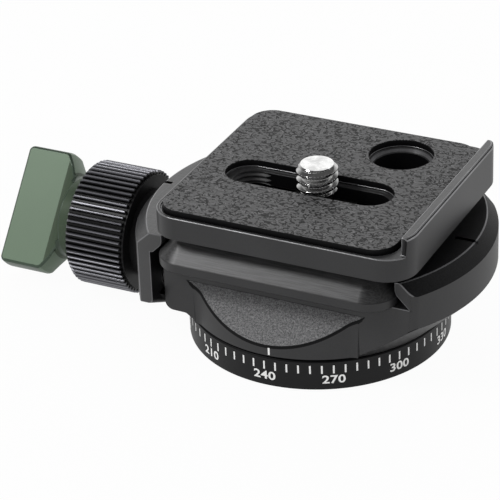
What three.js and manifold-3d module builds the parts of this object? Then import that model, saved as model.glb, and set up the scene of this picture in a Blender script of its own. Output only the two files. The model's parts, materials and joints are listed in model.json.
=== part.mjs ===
// Panning clamp with its quick release plate. Sizes are in millimetres, +Z is up.
// The pan axis is vertical, the knobs stand on the -X side and the fixed jaw on the +X side.
import * as THREE from "three";
import Module from "manifold-3d";

const wasm = await Module();
wasm.setup();

// Roundness of turned forms, in sides.
const sides_large = 80;
const sides_medium = 40;
const sides_small = 20;
const reach = 120;
const weld_distance = 0.002;

// Heights are counted from a level this far above the underside of the base.
const foot_drop = 0.14;

// Clearances.
const press_clearance = 0.05;
const rest_clearance = 0.05;
const running_clearance = 0.15;

// Pan base.
const base_radius = 20.0;
const base_height = 4.95;
const base_top_break = 0.2;
const base_foot_break = 0.7;
const base_floor = 2.6;

// Tripod socket bush, pressed into the base.
const socket_radius = 4.8;
const socket_depth = 8.2;
const bush_wall = 1.7;
const bush_radius = socket_radius + bush_wall;
const bush_lift = 0.1;

// Pan spindle, screwed into the base from below.
const spindle_wall = 1.5;
const spindle_radius = bush_radius + spindle_wall;
const spindle_flange_width = 4.0;
const spindle_flange_radius = spindle_radius + spindle_flange_width;
const spindle_flange_height = 2.25;
const spindle_groove_depth = 1.0;
const spindle_groove_half = 1.9;
const base_screw_count = 3;
const base_screw_radius = 1.0;
const base_screw_head = 2.1;
const base_screw_margin = 0.7;
const base_screw_circle = bush_radius + base_screw_head + base_screw_margin;
const base_screw_head_height = 1.1;
const base_screw_length = 4.2;
const socket_drive_share = 0.55;

// The plate's dovetail sets the width of the jaws.
const plate_shift = 0.15;
const plate_half = 18.95;
const jaw_width = 8.05;

// Clamp body.
const pan_gap = 0.25;
const body_low = base_height + pan_gap;
const disc_radius = plate_half + jaw_width;
const flat_half = 15.65;
const flat_corner = 1.8;
const bed_height = 15.15;
const jaw_height = 4.15;
const jaw_top = bed_height + jaw_height;
const band_fall = 2.0;
const wall_high = jaw_top - band_fall;
const wall_height = 5.3;
const wall_low = wall_high - wall_height;
const ridge_inset = 1.7;
const ridge_radius = disc_radius - ridge_inset;
const toe_lift = 1.5;
const toe_height = body_low + toe_lift;
const toe_length = 7.3;
const toe_round = 1.4;
const scoop_half_width = 15.3;
const scoop_corner = 3.2;
const scoop_reach = 14.0;
const scoop_lip = 1.6;
const scoop_lip_height = body_low + scoop_lip;
const strip_height = 2.8;
const blend_radius = 2.6;

// Jaws: undercut noses that hold the dovetail.
const fixed_nose = plate_shift + plate_half;
const fixed_nose_rise = 2.25;
const fixed_nose_height = bed_height + fixed_nose_rise;
const nose_round = 0.45;
const moving_nose_rise = 2.45;
const nose_height = bed_height + moving_nose_rise;
const nose_hold = 0.5;
const moving_nose = plate_half - plate_shift - nose_hold;
const leg_notch = 0.8;
const leg_notch_height = bed_height + leg_notch;
const nose_rise = nose_height - leg_notch_height;
const leg_step = 0.45;
const moving_leg = moving_nose + nose_rise + leg_step;
const leg_gap = 2.1;
const body_end = moving_leg - leg_gap;
const toe_inner = body_end - toe_length;
const leg_lift = 1.8;
const leg_low = body_low + leg_lift;
const leg_round = 1.1;
const jaw_open = 0.5;
const jaw_face = disc_radius + jaw_open;
const moving_top_drop = 0.2;
const moving_top = jaw_top - moving_top_drop;
const jaw_apron_low = 3.9;
const jaw_apron_half = 9.5;
const jaw_relief = 1.1;
const mark_half = 0.22;
const mark_depth = 0.3;
const mark_margin = 0.8;
const mark_length = 3.9;
const mark_outer = disc_radius - mark_margin;
const mark_inner = mark_outer - mark_length;

// Retainer that keeps the clamp on its spindle, sunk below the bed.
const recess_width = 3.2;
const recess_radius = spindle_radius + recess_width;
const recess_depth = 2.75;
const washer_height = 0.5;
const washer_inset = 0.4;
const washer_radius = recess_radius - washer_inset;
const retainer_inset = 0.7;
const retainer_radius = recess_radius - retainer_inset;
const retainer_height = 1.7;
const retainer_screw_circle = 5.2;
const retainer_screw_count = 3;
const retainer_screw_radius = 1.2;
const retainer_screw_head = 2.3;
const retainer_screw_head_height = 1.0;
const retainer_screw_length = 2.4;
const glide_inner_gap = 1.0;
const glide_inner = spindle_flange_radius + glide_inner_gap;
const glide_width = 5.0;
const glide_outer = glide_inner + glide_width;
const glide_height = 0.7;

// Clamp stud, knurled ring and jaw guides, each counted along the knob axis.
const knob_axis_drop = 5.49;
const knob_axis_height = bed_height - knob_axis_drop;
const stud_radius = 3.4;
const stud_wall = 1.45;
const stud_bore = stud_radius - stud_wall;
const stud_grip = 4.9;
const stud_inner_end = body_end - stud_grip;
const seat_depth = 1.05;
const seat_depth_x = jaw_face - seat_depth;
const seat_radius = 7.0;
const thrust_height = 0.9;
const thrust_inset = 0.4;
const thrust_radius = seat_radius - thrust_inset;
const ring_hub_start = jaw_face;
const ring_hub_radius = 6.9;
const ring_hub_length = 1.45;
const ring_face = ring_hub_start + ring_hub_length;
const ring_step_radius = 9.25;
const ring_step_length = 0.35;
const ring_rib_start = ring_face + ring_step_length;
const ring_rib_length = 9.6;
const ring_rib_end = ring_rib_start + ring_rib_length;
const ring_floor_gap = 0.02;
const ring_crest = knob_axis_height + foot_drop - ring_floor_gap;
const rib_depth = 0.43;
const ring_root = ring_crest - rib_depth;
const ring_edge_break = 0.45;
const ring_count = 60;
const crest_share = 0.18;
const root_share = 0.32;
const ring_pocket_depth = 2.9;
const ring_pocket_start = ring_rib_end - ring_pocket_depth;
const ring_pocket_radius = 6.9;
const nut_wall = 2.6;
const nut_radius = stud_radius + nut_wall;
const nut_setback = 0.9;
const nut_start = jaw_face + nut_setback;
const clip_inset = 0.65;
const clip_start = ring_rib_end - clip_inset;
const clip_height = 0.35;
const clip_radius = 4.6;
const clip_groove = 0.35;
const stud_overhang = 0.15;
const stud_outer_end = clip_start + clip_height + stud_overhang;
const guide_offset = 10.5;
const guide_radius = 1.6;
const guide_grip = 9.1;
const guide_start = body_end - guide_grip;
const guide_reach = 3.0;
const guide_end = moving_leg + guide_reach;
const guide_end_gap = 0.6;
const guide_hole_end = guide_end + guide_end_gap;
const spring_outer = 2.5;
const spring_wire = 0.55;
const spring_inner = spring_outer - spring_wire;
const spring_pocket = 5.1;
const spring_start = body_end - spring_pocket;
const spring_end_gap = 0.7;
const spring_end = moving_leg - spring_end_gap;

// Pan lock: wing knob, its spindle and the pin that grips the pan spindle.
const lock_pin_radius = 1.8;
const lock_pin_gap = 0.1;
const lock_pin_start = spindle_radius + lock_pin_gap;
const lock_pin_length = 4.1;
const lock_pin_end = lock_pin_start + lock_pin_length;
const lock_rod_radius = 1.7;
const wing_gap = 0.7;
const wing_start = ring_rib_end + wing_gap;
const wing_neck_length = 2.7;
const wing_neck_end = wing_start + wing_neck_length;
const wing_cone_gap = 0.7;
const wing_cone_start = wing_neck_end + wing_cone_gap;
const wing_cone_length = 1.8;
const wing_shoulder = wing_cone_start + wing_cone_length;
const wing_blade_length = 7.4;
const wing_end = wing_shoulder + wing_blade_length;
const wing_radius = 9.75;
const wing_neck_radius = 6.2;
const wing_cone_radius = 6.9;
const wing_half = 2.45;
const wing_scoop_setback = 0.2;
const wing_scoop_start = wing_shoulder - wing_scoop_setback;
const wing_scoop = 2.4;
const wing_break = 0.5;
const wing_turn = 39.4;
const lock_rod_setback = 5.2;
const lock_rod_end = wing_end - lock_rod_setback;
const cross_pin_radius = 1.0;
const cross_pin_setback = 1.6;
const cross_pin_x = wing_start + cross_pin_setback;
const cross_pin_sunk = 0.4;

// Quick release plate.
const plate_corner = 4.4;
const deck_corner = 4.8;
const plate_lift = 0.05;
const lip_height = 1.5;
const bevel_height = 2.9;
const neck_step = 0.12;
const neck_height = 1.2;
const deck_bottom = bed_height + plate_lift + lip_height + bevel_height + neck_height;
const deck_height = 3.65;
const deck_top = deck_bottom + deck_height;
const deck_overhang = 3.1;
const deck_edge = plate_shift + plate_half + deck_overhang;
const rim_break = 0.22;
const rim_width = 0.6;
const pad_gap = 0.35;
const pad_sunk = 0.25;
const pad_floor = deck_top - pad_sunk;
const pad_proud = 0.75;
const pad_top = deck_top + pad_proud;
const pad_edge_break = 0.2;
const flange_thickness = 1.6;
const flange_inner = deck_edge - flange_thickness;
const pad_flange_gap = 1.4;
const pad_edge_right = flange_inner - pad_flange_gap;
const flange_height = 2.85;
const flange_top = deck_top + flange_height;
const flange_inset = 2.35;
const flange_half = plate_half - flange_inset;
const flange_break = 0.3;
const flange_relief = 0.1;
const flange_seat = pad_top + flange_relief;
const slot_centre_y = -2.4;
const slot_half = 3.65;
const slot_left = -13.6;
const slot_right = 13.25;
const slot_step_depth = 0.65;
const slot_step_height = deck_top - slot_step_depth;
const slot_ledge = 0.7;
const slot_neck_half = slot_half - slot_ledge;
const entry_radius = 3.05;
const entry_inset = 4.15;
const entry_x = slot_left + entry_inset;
const channel_ledge = 2.65;
const channel_half = slot_half + channel_ledge;
const channel_rise = 0.8;
const channel_top = deck_bottom + channel_rise;
const hole_x = 8.95;
const hole_y = 11.0;
const hole_radius = 4.92;
const hole_step = 0.65;
const hole_step_depth = 0.6;
const hole_step_height = deck_top - hole_step_depth;
const hole_cone_height = 0.45;

// Camera screw, 1/4 inch with 20 threads to the inch.
const screw_x = 1.2;
const screw_radius = 3.1;
const screw_neck = 2.4;
const screw_thread_sunk = 0.45;
const screw_thread_start = deck_top - screw_thread_sunk;
const screw_proud = 3.4;
const screw_top = pad_top + screw_proud;
const screw_chamfer = 0.6;
const screw_head_radius = 5.6;
const screw_head_lift = 1.05;
const screw_head_low = bed_height + screw_head_lift;
const screw_head_height = 3.4;
const screw_head_top = screw_head_low + screw_head_height;
const screw_slot_half = 0.7;
const screw_slot_depth = 1.6;
const clip_washer_height = 0.8;
const clip_washer_radius = 5.8;

// Where the origin lies: under the middle of the whole length, on the pan axis across it.
const axis_offset = (wing_end - disc_radius) / 2;

const axis_x = new THREE.Vector3(1, 0, 0);
const axis_y = new THREE.Vector3(0, 1, 0);
const axis_z = new THREE.Vector3(0, 0, 1);

// A closed three.js geometry becomes a solid that can be joined and cut.
function solidOf(geometry) {
  const source = geometry.index ? geometry.toNonIndexed() : geometry;
  const position = source.getAttribute("position");
  const places = new Map();
  const points = [];
  const corners = [];
  for (let i = 0; i < position.count; i += 1) {
    const at = [position.getX(i), position.getY(i), position.getZ(i)];
    const key = at.map((value) => Math.round(value * 1e5)).join(",");
    if (!places.has(key)) {
      places.set(key, points.length / 3);
      points.push(...at);
    }
    corners.push(places.get(key));
  }
  const faces = [];
  let volume = 0;
  for (let i = 0; i < corners.length; i += 3) {
    const [a, b, c] = corners.slice(i, i + 3);
    if (a === b || b === c || a === c) continue;
    faces.push([a, b, c]);
    const [p, q, r] = [a, b, c].map((n) => new THREE.Vector3().fromArray(points, n * 3));
    volume += p.dot(q.cross(r));
  }
  const order = volume < 0 ? [0, 2, 1] : [0, 1, 2];
  const triangles = new Uint32Array(faces.flatMap((face) => order.map((k) => face[k])));
  const vertices = new Float32Array(points);
  const mesh = new wasm.Mesh({ numProp: 3, vertProperties: vertices, triVerts: triangles });
  mesh.merge();
  return new wasm.Manifold(mesh);
}

function outlineShape(points) {
  return new THREE.Shape(points.map(([u, v]) => new THREE.Vector2(u, v)));
}

function extruded(points, length, edge = 0) {
  const settings = { depth: length - 2 * edge, bevelEnabled: edge > 0, steps: 1 };
  Object.assign(settings, { bevelThickness: edge, bevelSize: edge, bevelOffset: -edge, bevelSegments: 1 });
  const geometry = new THREE.ExtrudeGeometry(outlineShape(points), settings);
  return geometry.translate(0, 0, edge);
}

// Prisms along each axis: points are (x, y), (x, z) and (y, z) in that order.
function prismZ(points, low, high, edge = 0) {
  return solidOf(extruded(points, high - low, edge).translate(0, 0, low));
}

function prismY(points, low, high, edge = 0) {
  const geometry = extruded(points, high - low, edge);
  return solidOf(geometry.rotateX(Math.PI / 2).translate(0, high, 0));
}

function prismX(points, low, high, edge = 0) {
  const turn = new THREE.Matrix4().makeBasis(axis_y, axis_z, axis_x);
  return solidOf(extruded(points, high - low, edge).applyMatrix4(turn).translate(low, 0, 0));
}

function box(x_low, x_high, y_low, y_high, z_low, z_high) {
  const geometry = new THREE.BoxGeometry(x_high - x_low, y_high - y_low, z_high - z_low);
  const centre = [(x_low + x_high) / 2, (y_low + y_high) / 2, (z_low + z_high) / 2];
  return solidOf(geometry.translate(...centre));
}

// Turned forms: profile points are (radius, place along the axis), closed or ending on the axis.
function turned(profile, sides) {
  const points = profile.map(([radius, place]) => new THREE.Vector2(radius, place));
  if (profile[0][0] > 0) points.push(points[0].clone());
  return new THREE.LatheGeometry(points, sides);
}

function turnedZ(profile, sides, x = 0, y = 0) {
  return solidOf(turned(profile, sides).rotateX(Math.PI / 2).translate(x, y, 0));
}

function turnedX(profile, sides, y = 0, z = knob_axis_height) {
  return solidOf(turned(profile, sides).rotateZ(-Math.PI / 2).translate(0, y, z));
}

function rodZ(radius, low, high, sides, x = 0, y = 0) {
  return turnedZ([[0, low], [radius, low], [radius, high], [0, high]], sides, x, y);
}

function rodX(radius, low, high, sides, y = 0, z = knob_axis_height) {
  return turnedX([[0, low], [radius, low], [radius, high], [0, high]], sides, y, z);
}

function arcPoints(x, y, radius, from, to, steps) {
  const points = [];
  for (let i = 0; i <= steps; i += 1) {
    const angle = THREE.MathUtils.degToRad(from + ((to - from) * i) / steps);
    points.push([x + radius * Math.cos(angle), y + radius * Math.sin(angle)]);
  }
  return points;
}

function roundedBox(x_low, x_high, y_low, y_high, radius, far_radius = radius, steps = 6) {
  return [
    ...arcPoints(x_high - far_radius, y_high - far_radius, far_radius, 0, 90, steps),
    ...arcPoints(x_low + radius, y_high - radius, radius, 90, 180, steps),
    ...arcPoints(x_low + radius, y_low + radius, radius, 180, 270, steps),
    ...arcPoints(x_high - far_radius, y_low + far_radius, far_radius, 270, 360, steps),
  ];
}

// A slot with round ends along X.
function slotOutline(x_low, x_high, y, half, steps = 10) {
  return [
    ...arcPoints(x_high - half, y, half, -90, 90, steps),
    ...arcPoints(x_low + half, y, half, 90, 270, steps),
  ];
}

// A disc with two parallel flats, its four corners rounded.
function flattedDisc(radius, half, corner, steps = 5) {
  const y = half - corner;
  const x = Math.sqrt((radius - corner) ** 2 - y ** 2);
  const turn = THREE.MathUtils.radToDeg(Math.atan2(y, x));
  return [
    ...arcPoints(0, 0, radius, -turn, turn, 3 * steps),
    ...arcPoints(x, y, corner, turn, 90, steps).slice(1),
    ...arcPoints(-x, y, corner, 90, 180 - turn, steps),
    ...arcPoints(0, 0, radius, 180 - turn, 180 + turn, 3 * steps).slice(1),
    ...arcPoints(-x, -y, corner, 180 + turn, 270, steps).slice(1),
    ...arcPoints(x, -y, corner, 270, 360 - turn, steps),
  ].slice(0, -1);
}

function union(...solids) {
  return solids.reduce((whole, next) => whole.add(next));
}

function cut(solid, ...tools) {
  return tools.reduce((whole, tool) => whole.subtract(tool), solid);
}

function circlePlaces(count, radius, start) {
  const places = [];
  for (let i = 0; i < count; i += 1) {
    const angle = THREE.MathUtils.degToRad(start + (360 * i) / count);
    places.push([radius * Math.cos(angle), radius * Math.sin(angle)]);
  }
  return places;
}

const group = new THREE.Group();
group.name = "panning_clamp";

// Every piece goes into the group as one named mesh with its own material.
function piece(name, solid, colour, metalness, roughness) {
  const out = solid.simplify(weld_distance).getMesh();
  const geometry = new THREE.BufferGeometry();
  const place = out.vertProperties;
  geometry.setAttribute("position", new THREE.BufferAttribute(new Float32Array(place), 3));
  geometry.setIndex(new THREE.BufferAttribute(new Uint32Array(out.triVerts), 1));
  geometry.translate(axis_offset, 0, foot_drop);
  geometry.computeVertexNormals();
  const material = new THREE.MeshStandardMaterial({ color: colour, metalness, roughness });
  material.name = name;
  const mesh = new THREE.Mesh(geometry, material);
  mesh.name = name;
  group.add(mesh);
  return solid;
}

const black = "#24262a";
const steel = "#b9bcc0";
const brass = "#b08d4a";
const green = "#7d9380";
const rubber = "#3a3b3d";
const nylon = "#d8d4c6";

// Levels that follow from the sizes above.
const underside = -foot_drop;
const recess_floor = bed_height - recess_depth;
const spindle_low = base_floor + rest_clearance;
const spindle_top = recess_floor + rest_clearance + washer_height;
const bush_low = underside + bush_lift;
const bush_top = bush_low + socket_depth;
const retainer_top = spindle_top + retainer_height;
const strip_low = bed_height - strip_height;
const plate_low = bed_height + plate_lift;
const bevel_low = plate_low + lip_height;
const bevel_high = bevel_low + bevel_height;

// Base disc with a seat for the spindle flange and a hole for the bush.
{
  const profile = [
    [bush_radius + press_clearance, underside],
    [base_radius - base_foot_break, underside],
    [base_radius, underside + base_foot_break / 2],
    [base_radius, base_height - base_top_break],
    [base_radius - base_top_break, base_height],
    [spindle_flange_radius + press_clearance, base_height],
    [spindle_flange_radius + press_clearance, base_floor],
    [bush_radius + press_clearance, base_floor],
  ];
  let disc = turnedZ(profile, sides_large);
  for (const [x, y] of circlePlaces(base_screw_count, base_screw_circle, 90)) {
    const head = base_screw_head + press_clearance;
    const hole = base_screw_radius + press_clearance;
    const sink = bush_low + base_screw_head_height;
    const tool = [[0, -reach], [head, -reach], [head, bush_low], [hole, sink], [hole, reach], [0, reach]];
    disc = cut(disc, turnedZ(tool, sides_small, x, y));
  }
  piece("base_disc", disc, black, 0.6, 0.5);
}

// Tripod bush with its threaded socket left plain.
{
  const profile = [
    [socket_radius, bush_low],
    [bush_radius, bush_low],
    [bush_radius, bush_top + press_clearance],
    [socket_radius, bush_top + press_clearance],
  ];
  piece("tripod_bush", turnedZ(profile, sides_medium), steel, 0.9, 0.35);
}

// Pan spindle: flange, hollow foot over the bush, and the groove that the lock pin grips.
{
  const bore = bush_radius + press_clearance;
  const bore_top = bush_top + 2 * press_clearance;
  const groove = spindle_radius - spindle_groove_depth;
  const profile = [
    [0, bore_top],
    [bore, bore_top],
    [bore, spindle_low],
    [spindle_flange_radius, spindle_low],
    [spindle_flange_radius, spindle_low + spindle_flange_height],
    [spindle_radius, spindle_low + spindle_flange_height],
    [spindle_radius, knob_axis_height - spindle_groove_half],
    [groove, knob_axis_height],
    [spindle_radius, knob_axis_height + spindle_groove_half],
    [spindle_radius, spindle_top],
    [0, spindle_top],
  ];
  let spindle = turnedZ(profile, sides_medium);
  for (const [x, y] of circlePlaces(base_screw_count, base_screw_circle, 90)) {
    const hole = base_screw_radius + press_clearance;
    const end = base_screw_length + press_clearance;
    spindle = cut(spindle, rodZ(hole, 0, end, sides_small, x, y));
  }
  for (const [x, y] of circlePlaces(retainer_screw_count, retainer_screw_circle, 30)) {
    const hole = retainer_screw_radius + press_clearance;
    const end = retainer_top - retainer_screw_length - retainer_screw_head_height;
    const low = end - press_clearance;
    spindle = cut(spindle, rodZ(hole, low, spindle_top + reach, sides_small, x, y));
  }
  piece("pan_spindle", spindle, steel, 0.9, 0.35);
}

// Countersunk screw, head at face_z, shank towards direction (1 is up, -1 is down).
function countersunk(x, y, face_z, direction, sizes) {
  const { shank, head, sink, length } = sizes;
  const profile = [[0, 0], [head, 0], [shank, sink], [shank, length], [0, length]];
  const placed = profile.map(([radius, along]) => [radius, face_z + direction * along]);
  const drive = head * socket_drive_share;
  const far = face_z - direction * sink;
  const near = face_z + direction * sink * socket_drive_share;
  const bounds = [Math.min(far, near), Math.max(far, near)];
  const socket = rodZ(drive, bounds[0], bounds[1], 6, x, y);
  return cut(turnedZ(placed, sides_small, x, y), socket);
}

circlePlaces(base_screw_count, base_screw_circle, 90).forEach(([x, y], i) => {
  const sizes = {
    shank: base_screw_radius,
    head: base_screw_head,
    sink: base_screw_head_height,
    length: base_screw_length - bush_low,
  };
  piece(`base_screw_${i + 1}`, countersunk(x, y, bush_low, 1, sizes), steel, 0.9, 0.4);
});

// Retainer disc and its screws.
{
  let disc = rodZ(retainer_radius, spindle_top, retainer_top, sides_medium);
  for (const [x, y] of circlePlaces(retainer_screw_count, retainer_screw_circle, 30)) {
    const head = retainer_screw_head + press_clearance;
    const hole = retainer_screw_radius + press_clearance;
    const sink = retainer_top - retainer_screw_head_height;
    const tool = [[0, 0], [hole, 0], [hole, sink], [head, retainer_top], [head, reach], [0, reach]];
    disc = cut(disc, turnedZ(tool, sides_small, x, y));
  }
  piece("retainer_disc", disc, steel, 0.9, 0.35);
}

circlePlaces(retainer_screw_count, retainer_screw_circle, 30).forEach(([x, y], i) => {
  const sizes = {
    shank: retainer_screw_radius,
    head: retainer_screw_head,
    sink: retainer_screw_head_height,
    length: retainer_screw_length + retainer_screw_head_height,
  };
  piece(`retainer_screw_${i + 1}`, countersunk(x, y, retainer_top, -1, sizes), steel, 0.9, 0.4);
});

// The scooped notch in front: a round-cornered channel with its floor at 45 degrees.
function scoopTool() {
  const slope = Math.SQRT1_2;
  const half = scoop_half_width;
  const outline = [
    ...arcPoints(half - scoop_corner, scoop_corner, scoop_corner, 270, 360, 6),
    [half, scoop_reach],
    [-half, scoop_reach],
    ...arcPoints(-half + scoop_corner, scoop_corner, scoop_corner, 180, 270, 6),
  ];
  const inward = new THREE.Vector3(0, -slope, slope);
  const down = new THREE.Vector3(0, -slope, -slope);
  const turn = new THREE.Matrix4().makeBasis(axis_x, inward, down);
  const channel = extruded(outline, 2 * scoop_reach).translate(0, 0, -scoop_reach);
  channel.applyMatrix4(turn).translate(0, -base_radius, scoop_lip_height);
  const under = box(-reach, reach, -reach, 0, 0, strip_low);
  const before = box(-reach, reach, -reach, -flat_half - rest_clearance, 0, reach);
  return solidOf(channel).intersect(under.add(before));
}

// Clamp body.
{
  const plan = flattedDisc(disc_radius, flat_half, flat_corner);
  const profile = [
    [0, body_low],
    [base_radius, body_low],
    [disc_radius, wall_low],
    [disc_radius, wall_high],
    [ridge_radius, jaw_top],
    [0, jaw_top],
  ];
  let body = prismZ(plan, body_low, jaw_top).intersect(turnedZ(profile, sides_large));
  // The round foot that covers the base, with the scooped notch in front and behind.
  const foot = rodZ(base_radius, body_low, strip_low, sides_large);
  // Block at the knob end, with rounded lower corners.
  const toe = [
    [-toe_inner, toe_height],
    [-toe_inner, bed_height],
    [-body_end, bed_height],
    ...arcPoints(-body_end + toe_round, toe_height + toe_round, toe_round, 180, 270, 4),
  ];
  body = union(body, foot, prismY(toe, -flat_half, flat_half));
  // Hollow blends where the flats meet the round foot.
  const meet = base_radius + blend_radius;
  const blend_y = flat_half + blend_radius;
  const blend_x = Math.sqrt(meet ** 2 - blend_y ** 2);
  const inner = base_radius / meet;
  for (const side of [-1, 1]) {
    for (const end of [-1, 1]) {
      const tip = [end * blend_x * inner, side * blend_y * inner];
      const heel = [end * blend_x, side * flat_half];
      const root = [end * blend_x * inner * inner, side * flat_half * inner];
      const centre = [end * blend_x, side * blend_y];
      const wedge = [root, heel, centre, tip];
      const turn = end * side > 0 ? wedge : wedge.slice().reverse();
      const fill = cut(
        prismZ(turn, body_low, strip_low),
        rodZ(blend_radius, 0, reach, sides_medium, ...centre),
      );
      body = body.add(fill);
    }
  }
  // Everything above the bed between the jaws goes, with the undercut of the fixed jaw.
  const undercut = fixed_nose_height - bed_height;
  const bed = [
    [-reach, bed_height],
    [fixed_nose + undercut, bed_height],
    [fixed_nose + nose_round / 2, fixed_nose_height - nose_round / 2],
    [fixed_nose, fixed_nose_height + nose_round],
    [fixed_nose, reach],
    [-reach, reach],
  ];
  const open_end = box(-reach, -body_end, -reach, reach, 0, reach);
  body = cut(body, prismY(bed, -reach, reach), open_end);
  const scoop = scoopTool();
  body = cut(body, scoop, scoop.rotate([0, 0, 180]));
  // Bore, retainer recess and the groove for the glide ring.
  const bore = spindle_radius + running_clearance;
  body = cut(body, rodZ(bore, 0, reach, sides_medium));
  body = cut(body, rodZ(recess_radius, recess_floor, reach, sides_medium));
  const groove_top = base_height + 2 * rest_clearance + glide_height;
  const groove = [
    [glide_inner - running_clearance, 0],
    [glide_outer + running_clearance, 0],
    [glide_outer + running_clearance, groove_top],
    [glide_inner - running_clearance, groove_top],
  ];
  body = cut(body, turnedZ(groove, sides_medium));
  // Holes at the knob end: stud thread, lock pin, guides with their springs.
  body = cut(
    body,
    rodX(stud_radius + press_clearance, -reach, -stud_inner_end + press_clearance, sides_medium),
    rodX(lock_pin_radius + 2 * press_clearance, -reach, 0, sides_small),
  );
  for (const side of [-1, 1]) {
    const y = side * guide_offset;
    body = cut(
      body,
      rodX(guide_radius + press_clearance, -reach, -guide_start + press_clearance, sides_small, y),
      rodX(spring_outer + running_clearance, -reach, -spring_start + press_clearance, sides_small, y),
    );
  }
  // Centre mark across the fixed jaw.
  const mark = box(mark_inner, mark_outer, -mark_half, mark_half, jaw_top - mark_depth, reach);
  body = cut(body, mark);
  piece("clamp_body", body, black, 0.6, 0.5);
}

// Glide ring between base and body, and the washer under the retainer.
{
  const low = base_height + rest_clearance;
  const profile = [
    [glide_inner, low],
    [glide_outer, low],
    [glide_outer, low + glide_height],
    [glide_inner, low + glide_height],
  ];
  piece("glide_ring", turnedZ(profile, sides_medium), nylon, 0, 0.6);
  const washer_low = recess_floor + rest_clearance / 2;
  const washer_high = washer_low + washer_height;
  const inner = spindle_radius + 2 * running_clearance;
  const washer = [
    [inner, washer_low],
    [washer_radius, washer_low],
    [washer_radius, washer_high],
    [inner, washer_high],
  ];
  piece("upper_washer", turnedZ(washer, sides_medium), nylon, 0, 0.6);
}

// Moving jaw.
{
  const slope = (jaw_top - wall_high) / (disc_radius - ridge_radius);
  const plan_profile = [
    [0, 0],
    [disc_radius, 0],
    [disc_radius, moving_top - slope * (disc_radius - ridge_radius)],
    [ridge_radius, moving_top],
    [0, moving_top],
  ];
  const disc = turnedZ(plan_profile, sides_large, -jaw_open, 0);
  const section = [
    [-reach, moving_top + leg_round],
    [-reach, 0],
    [-moving_leg, 0],
    [-moving_leg, leg_notch_height],
    [-moving_nose - nose_rise, leg_notch_height],
    [-moving_nose - nose_round / 2, nose_height - nose_round / 2],
    [-moving_nose, nose_height + nose_round],
    [-moving_nose, moving_top + leg_round],
  ];
  const side_view = [
    [flat_half, leg_low],
    [flat_half, moving_top],
    [-flat_half, moving_top],
    [-flat_half, leg_low],
    [-flat_half + leg_round, leg_low - leg_round / 2],
    [-jaw_apron_half, jaw_apron_low],
    [jaw_apron_half, jaw_apron_low],
    [flat_half - leg_round, leg_low - leg_round / 2],
  ];
  let jaw = disc.intersect(prismY(section, -flat_half, flat_half));
  jaw = jaw.intersect(prismX(side_view, -reach, 0));
  const relief = base_radius + jaw_relief;
  jaw = cut(jaw, rodZ(relief, -leg_low, toe_height + running_clearance, sides_large));
  jaw = cut(
    jaw,
    rodX(seat_radius, -reach, -seat_depth_x, sides_medium),
    rodX(stud_radius + running_clearance, -reach, 0, sides_medium),
  );
  for (const side of [-1, 1]) {
    const hole = guide_radius + running_clearance;
    jaw = cut(jaw, rodX(hole, -guide_hole_end, 0, sides_small, side * guide_offset));
  }
  const mark_from = -ridge_radius - jaw_open - mark_depth;
  const mark_to = -ridge_radius - jaw_open + leg_round;
  const mark = box(mark_from, mark_to, -mark_half, mark_half, moving_top - mark_depth, reach);
  jaw = cut(jaw, mark);
  piece("moving_jaw", jaw, black, 0.6, 0.5);
}

// Thrust washer in the jaw's seat.
{
  const near = -seat_depth_x - rest_clearance;
  const inner = stud_radius + running_clearance;
  const profile = [
    [inner, near - thrust_height],
    [thrust_radius, near - thrust_height],
    [thrust_radius, near],
    [inner, near],
  ];
  piece("thrust_washer", turnedX(profile, sides_medium), steel, 0.9, 0.3);
}

// Hollow stud with the groove for its clip.
{
  const groove_low = -clip_start - clip_height - press_clearance;
  const groove_high = -clip_start + press_clearance;
  const profile = [
    [stud_bore, -stud_outer_end],
    [stud_radius, -stud_outer_end],
    [stud_radius, groove_low],
    [stud_radius - clip_groove, groove_low],
    [stud_radius - clip_groove, groove_high],
    [stud_radius, groove_high],
    [stud_radius, -stud_inner_end],
    [stud_bore, -stud_inner_end],
  ];
  piece("clamp_stud", turnedX(profile, sides_medium), steel, 0.9, 0.35);
  const clip = [
    [stud_radius - clip_groove + press_clearance, -clip_start - clip_height],
    [clip_radius, -clip_start - clip_height],
    [clip_radius, -clip_start],
    [stud_radius - clip_groove + press_clearance, -clip_start],
  ];
  piece("stud_clip", turnedX(clip, sides_medium), steel, 0.9, 0.35);
}

// Jaw guide pins and their springs, shown at the length they have with the jaw closed.
for (const [side, word] of [[-1, "front"], [1, "back"]]) {
  const y = side * guide_offset;
  const pin = rodX(guide_radius, -guide_end, -guide_start, sides_small, y);
  piece(`guide_pin_${word}`, pin, steel, 0.9, 0.3);
  const spring = [
    [spring_inner, -spring_end],
    [spring_outer, -spring_end],
    [spring_outer, -spring_start],
    [spring_inner, -spring_start],
  ];
  piece(`jaw_spring_${word}`, turnedX(spring, sides_small, y), steel, 0.9, 0.4);
}

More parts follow.
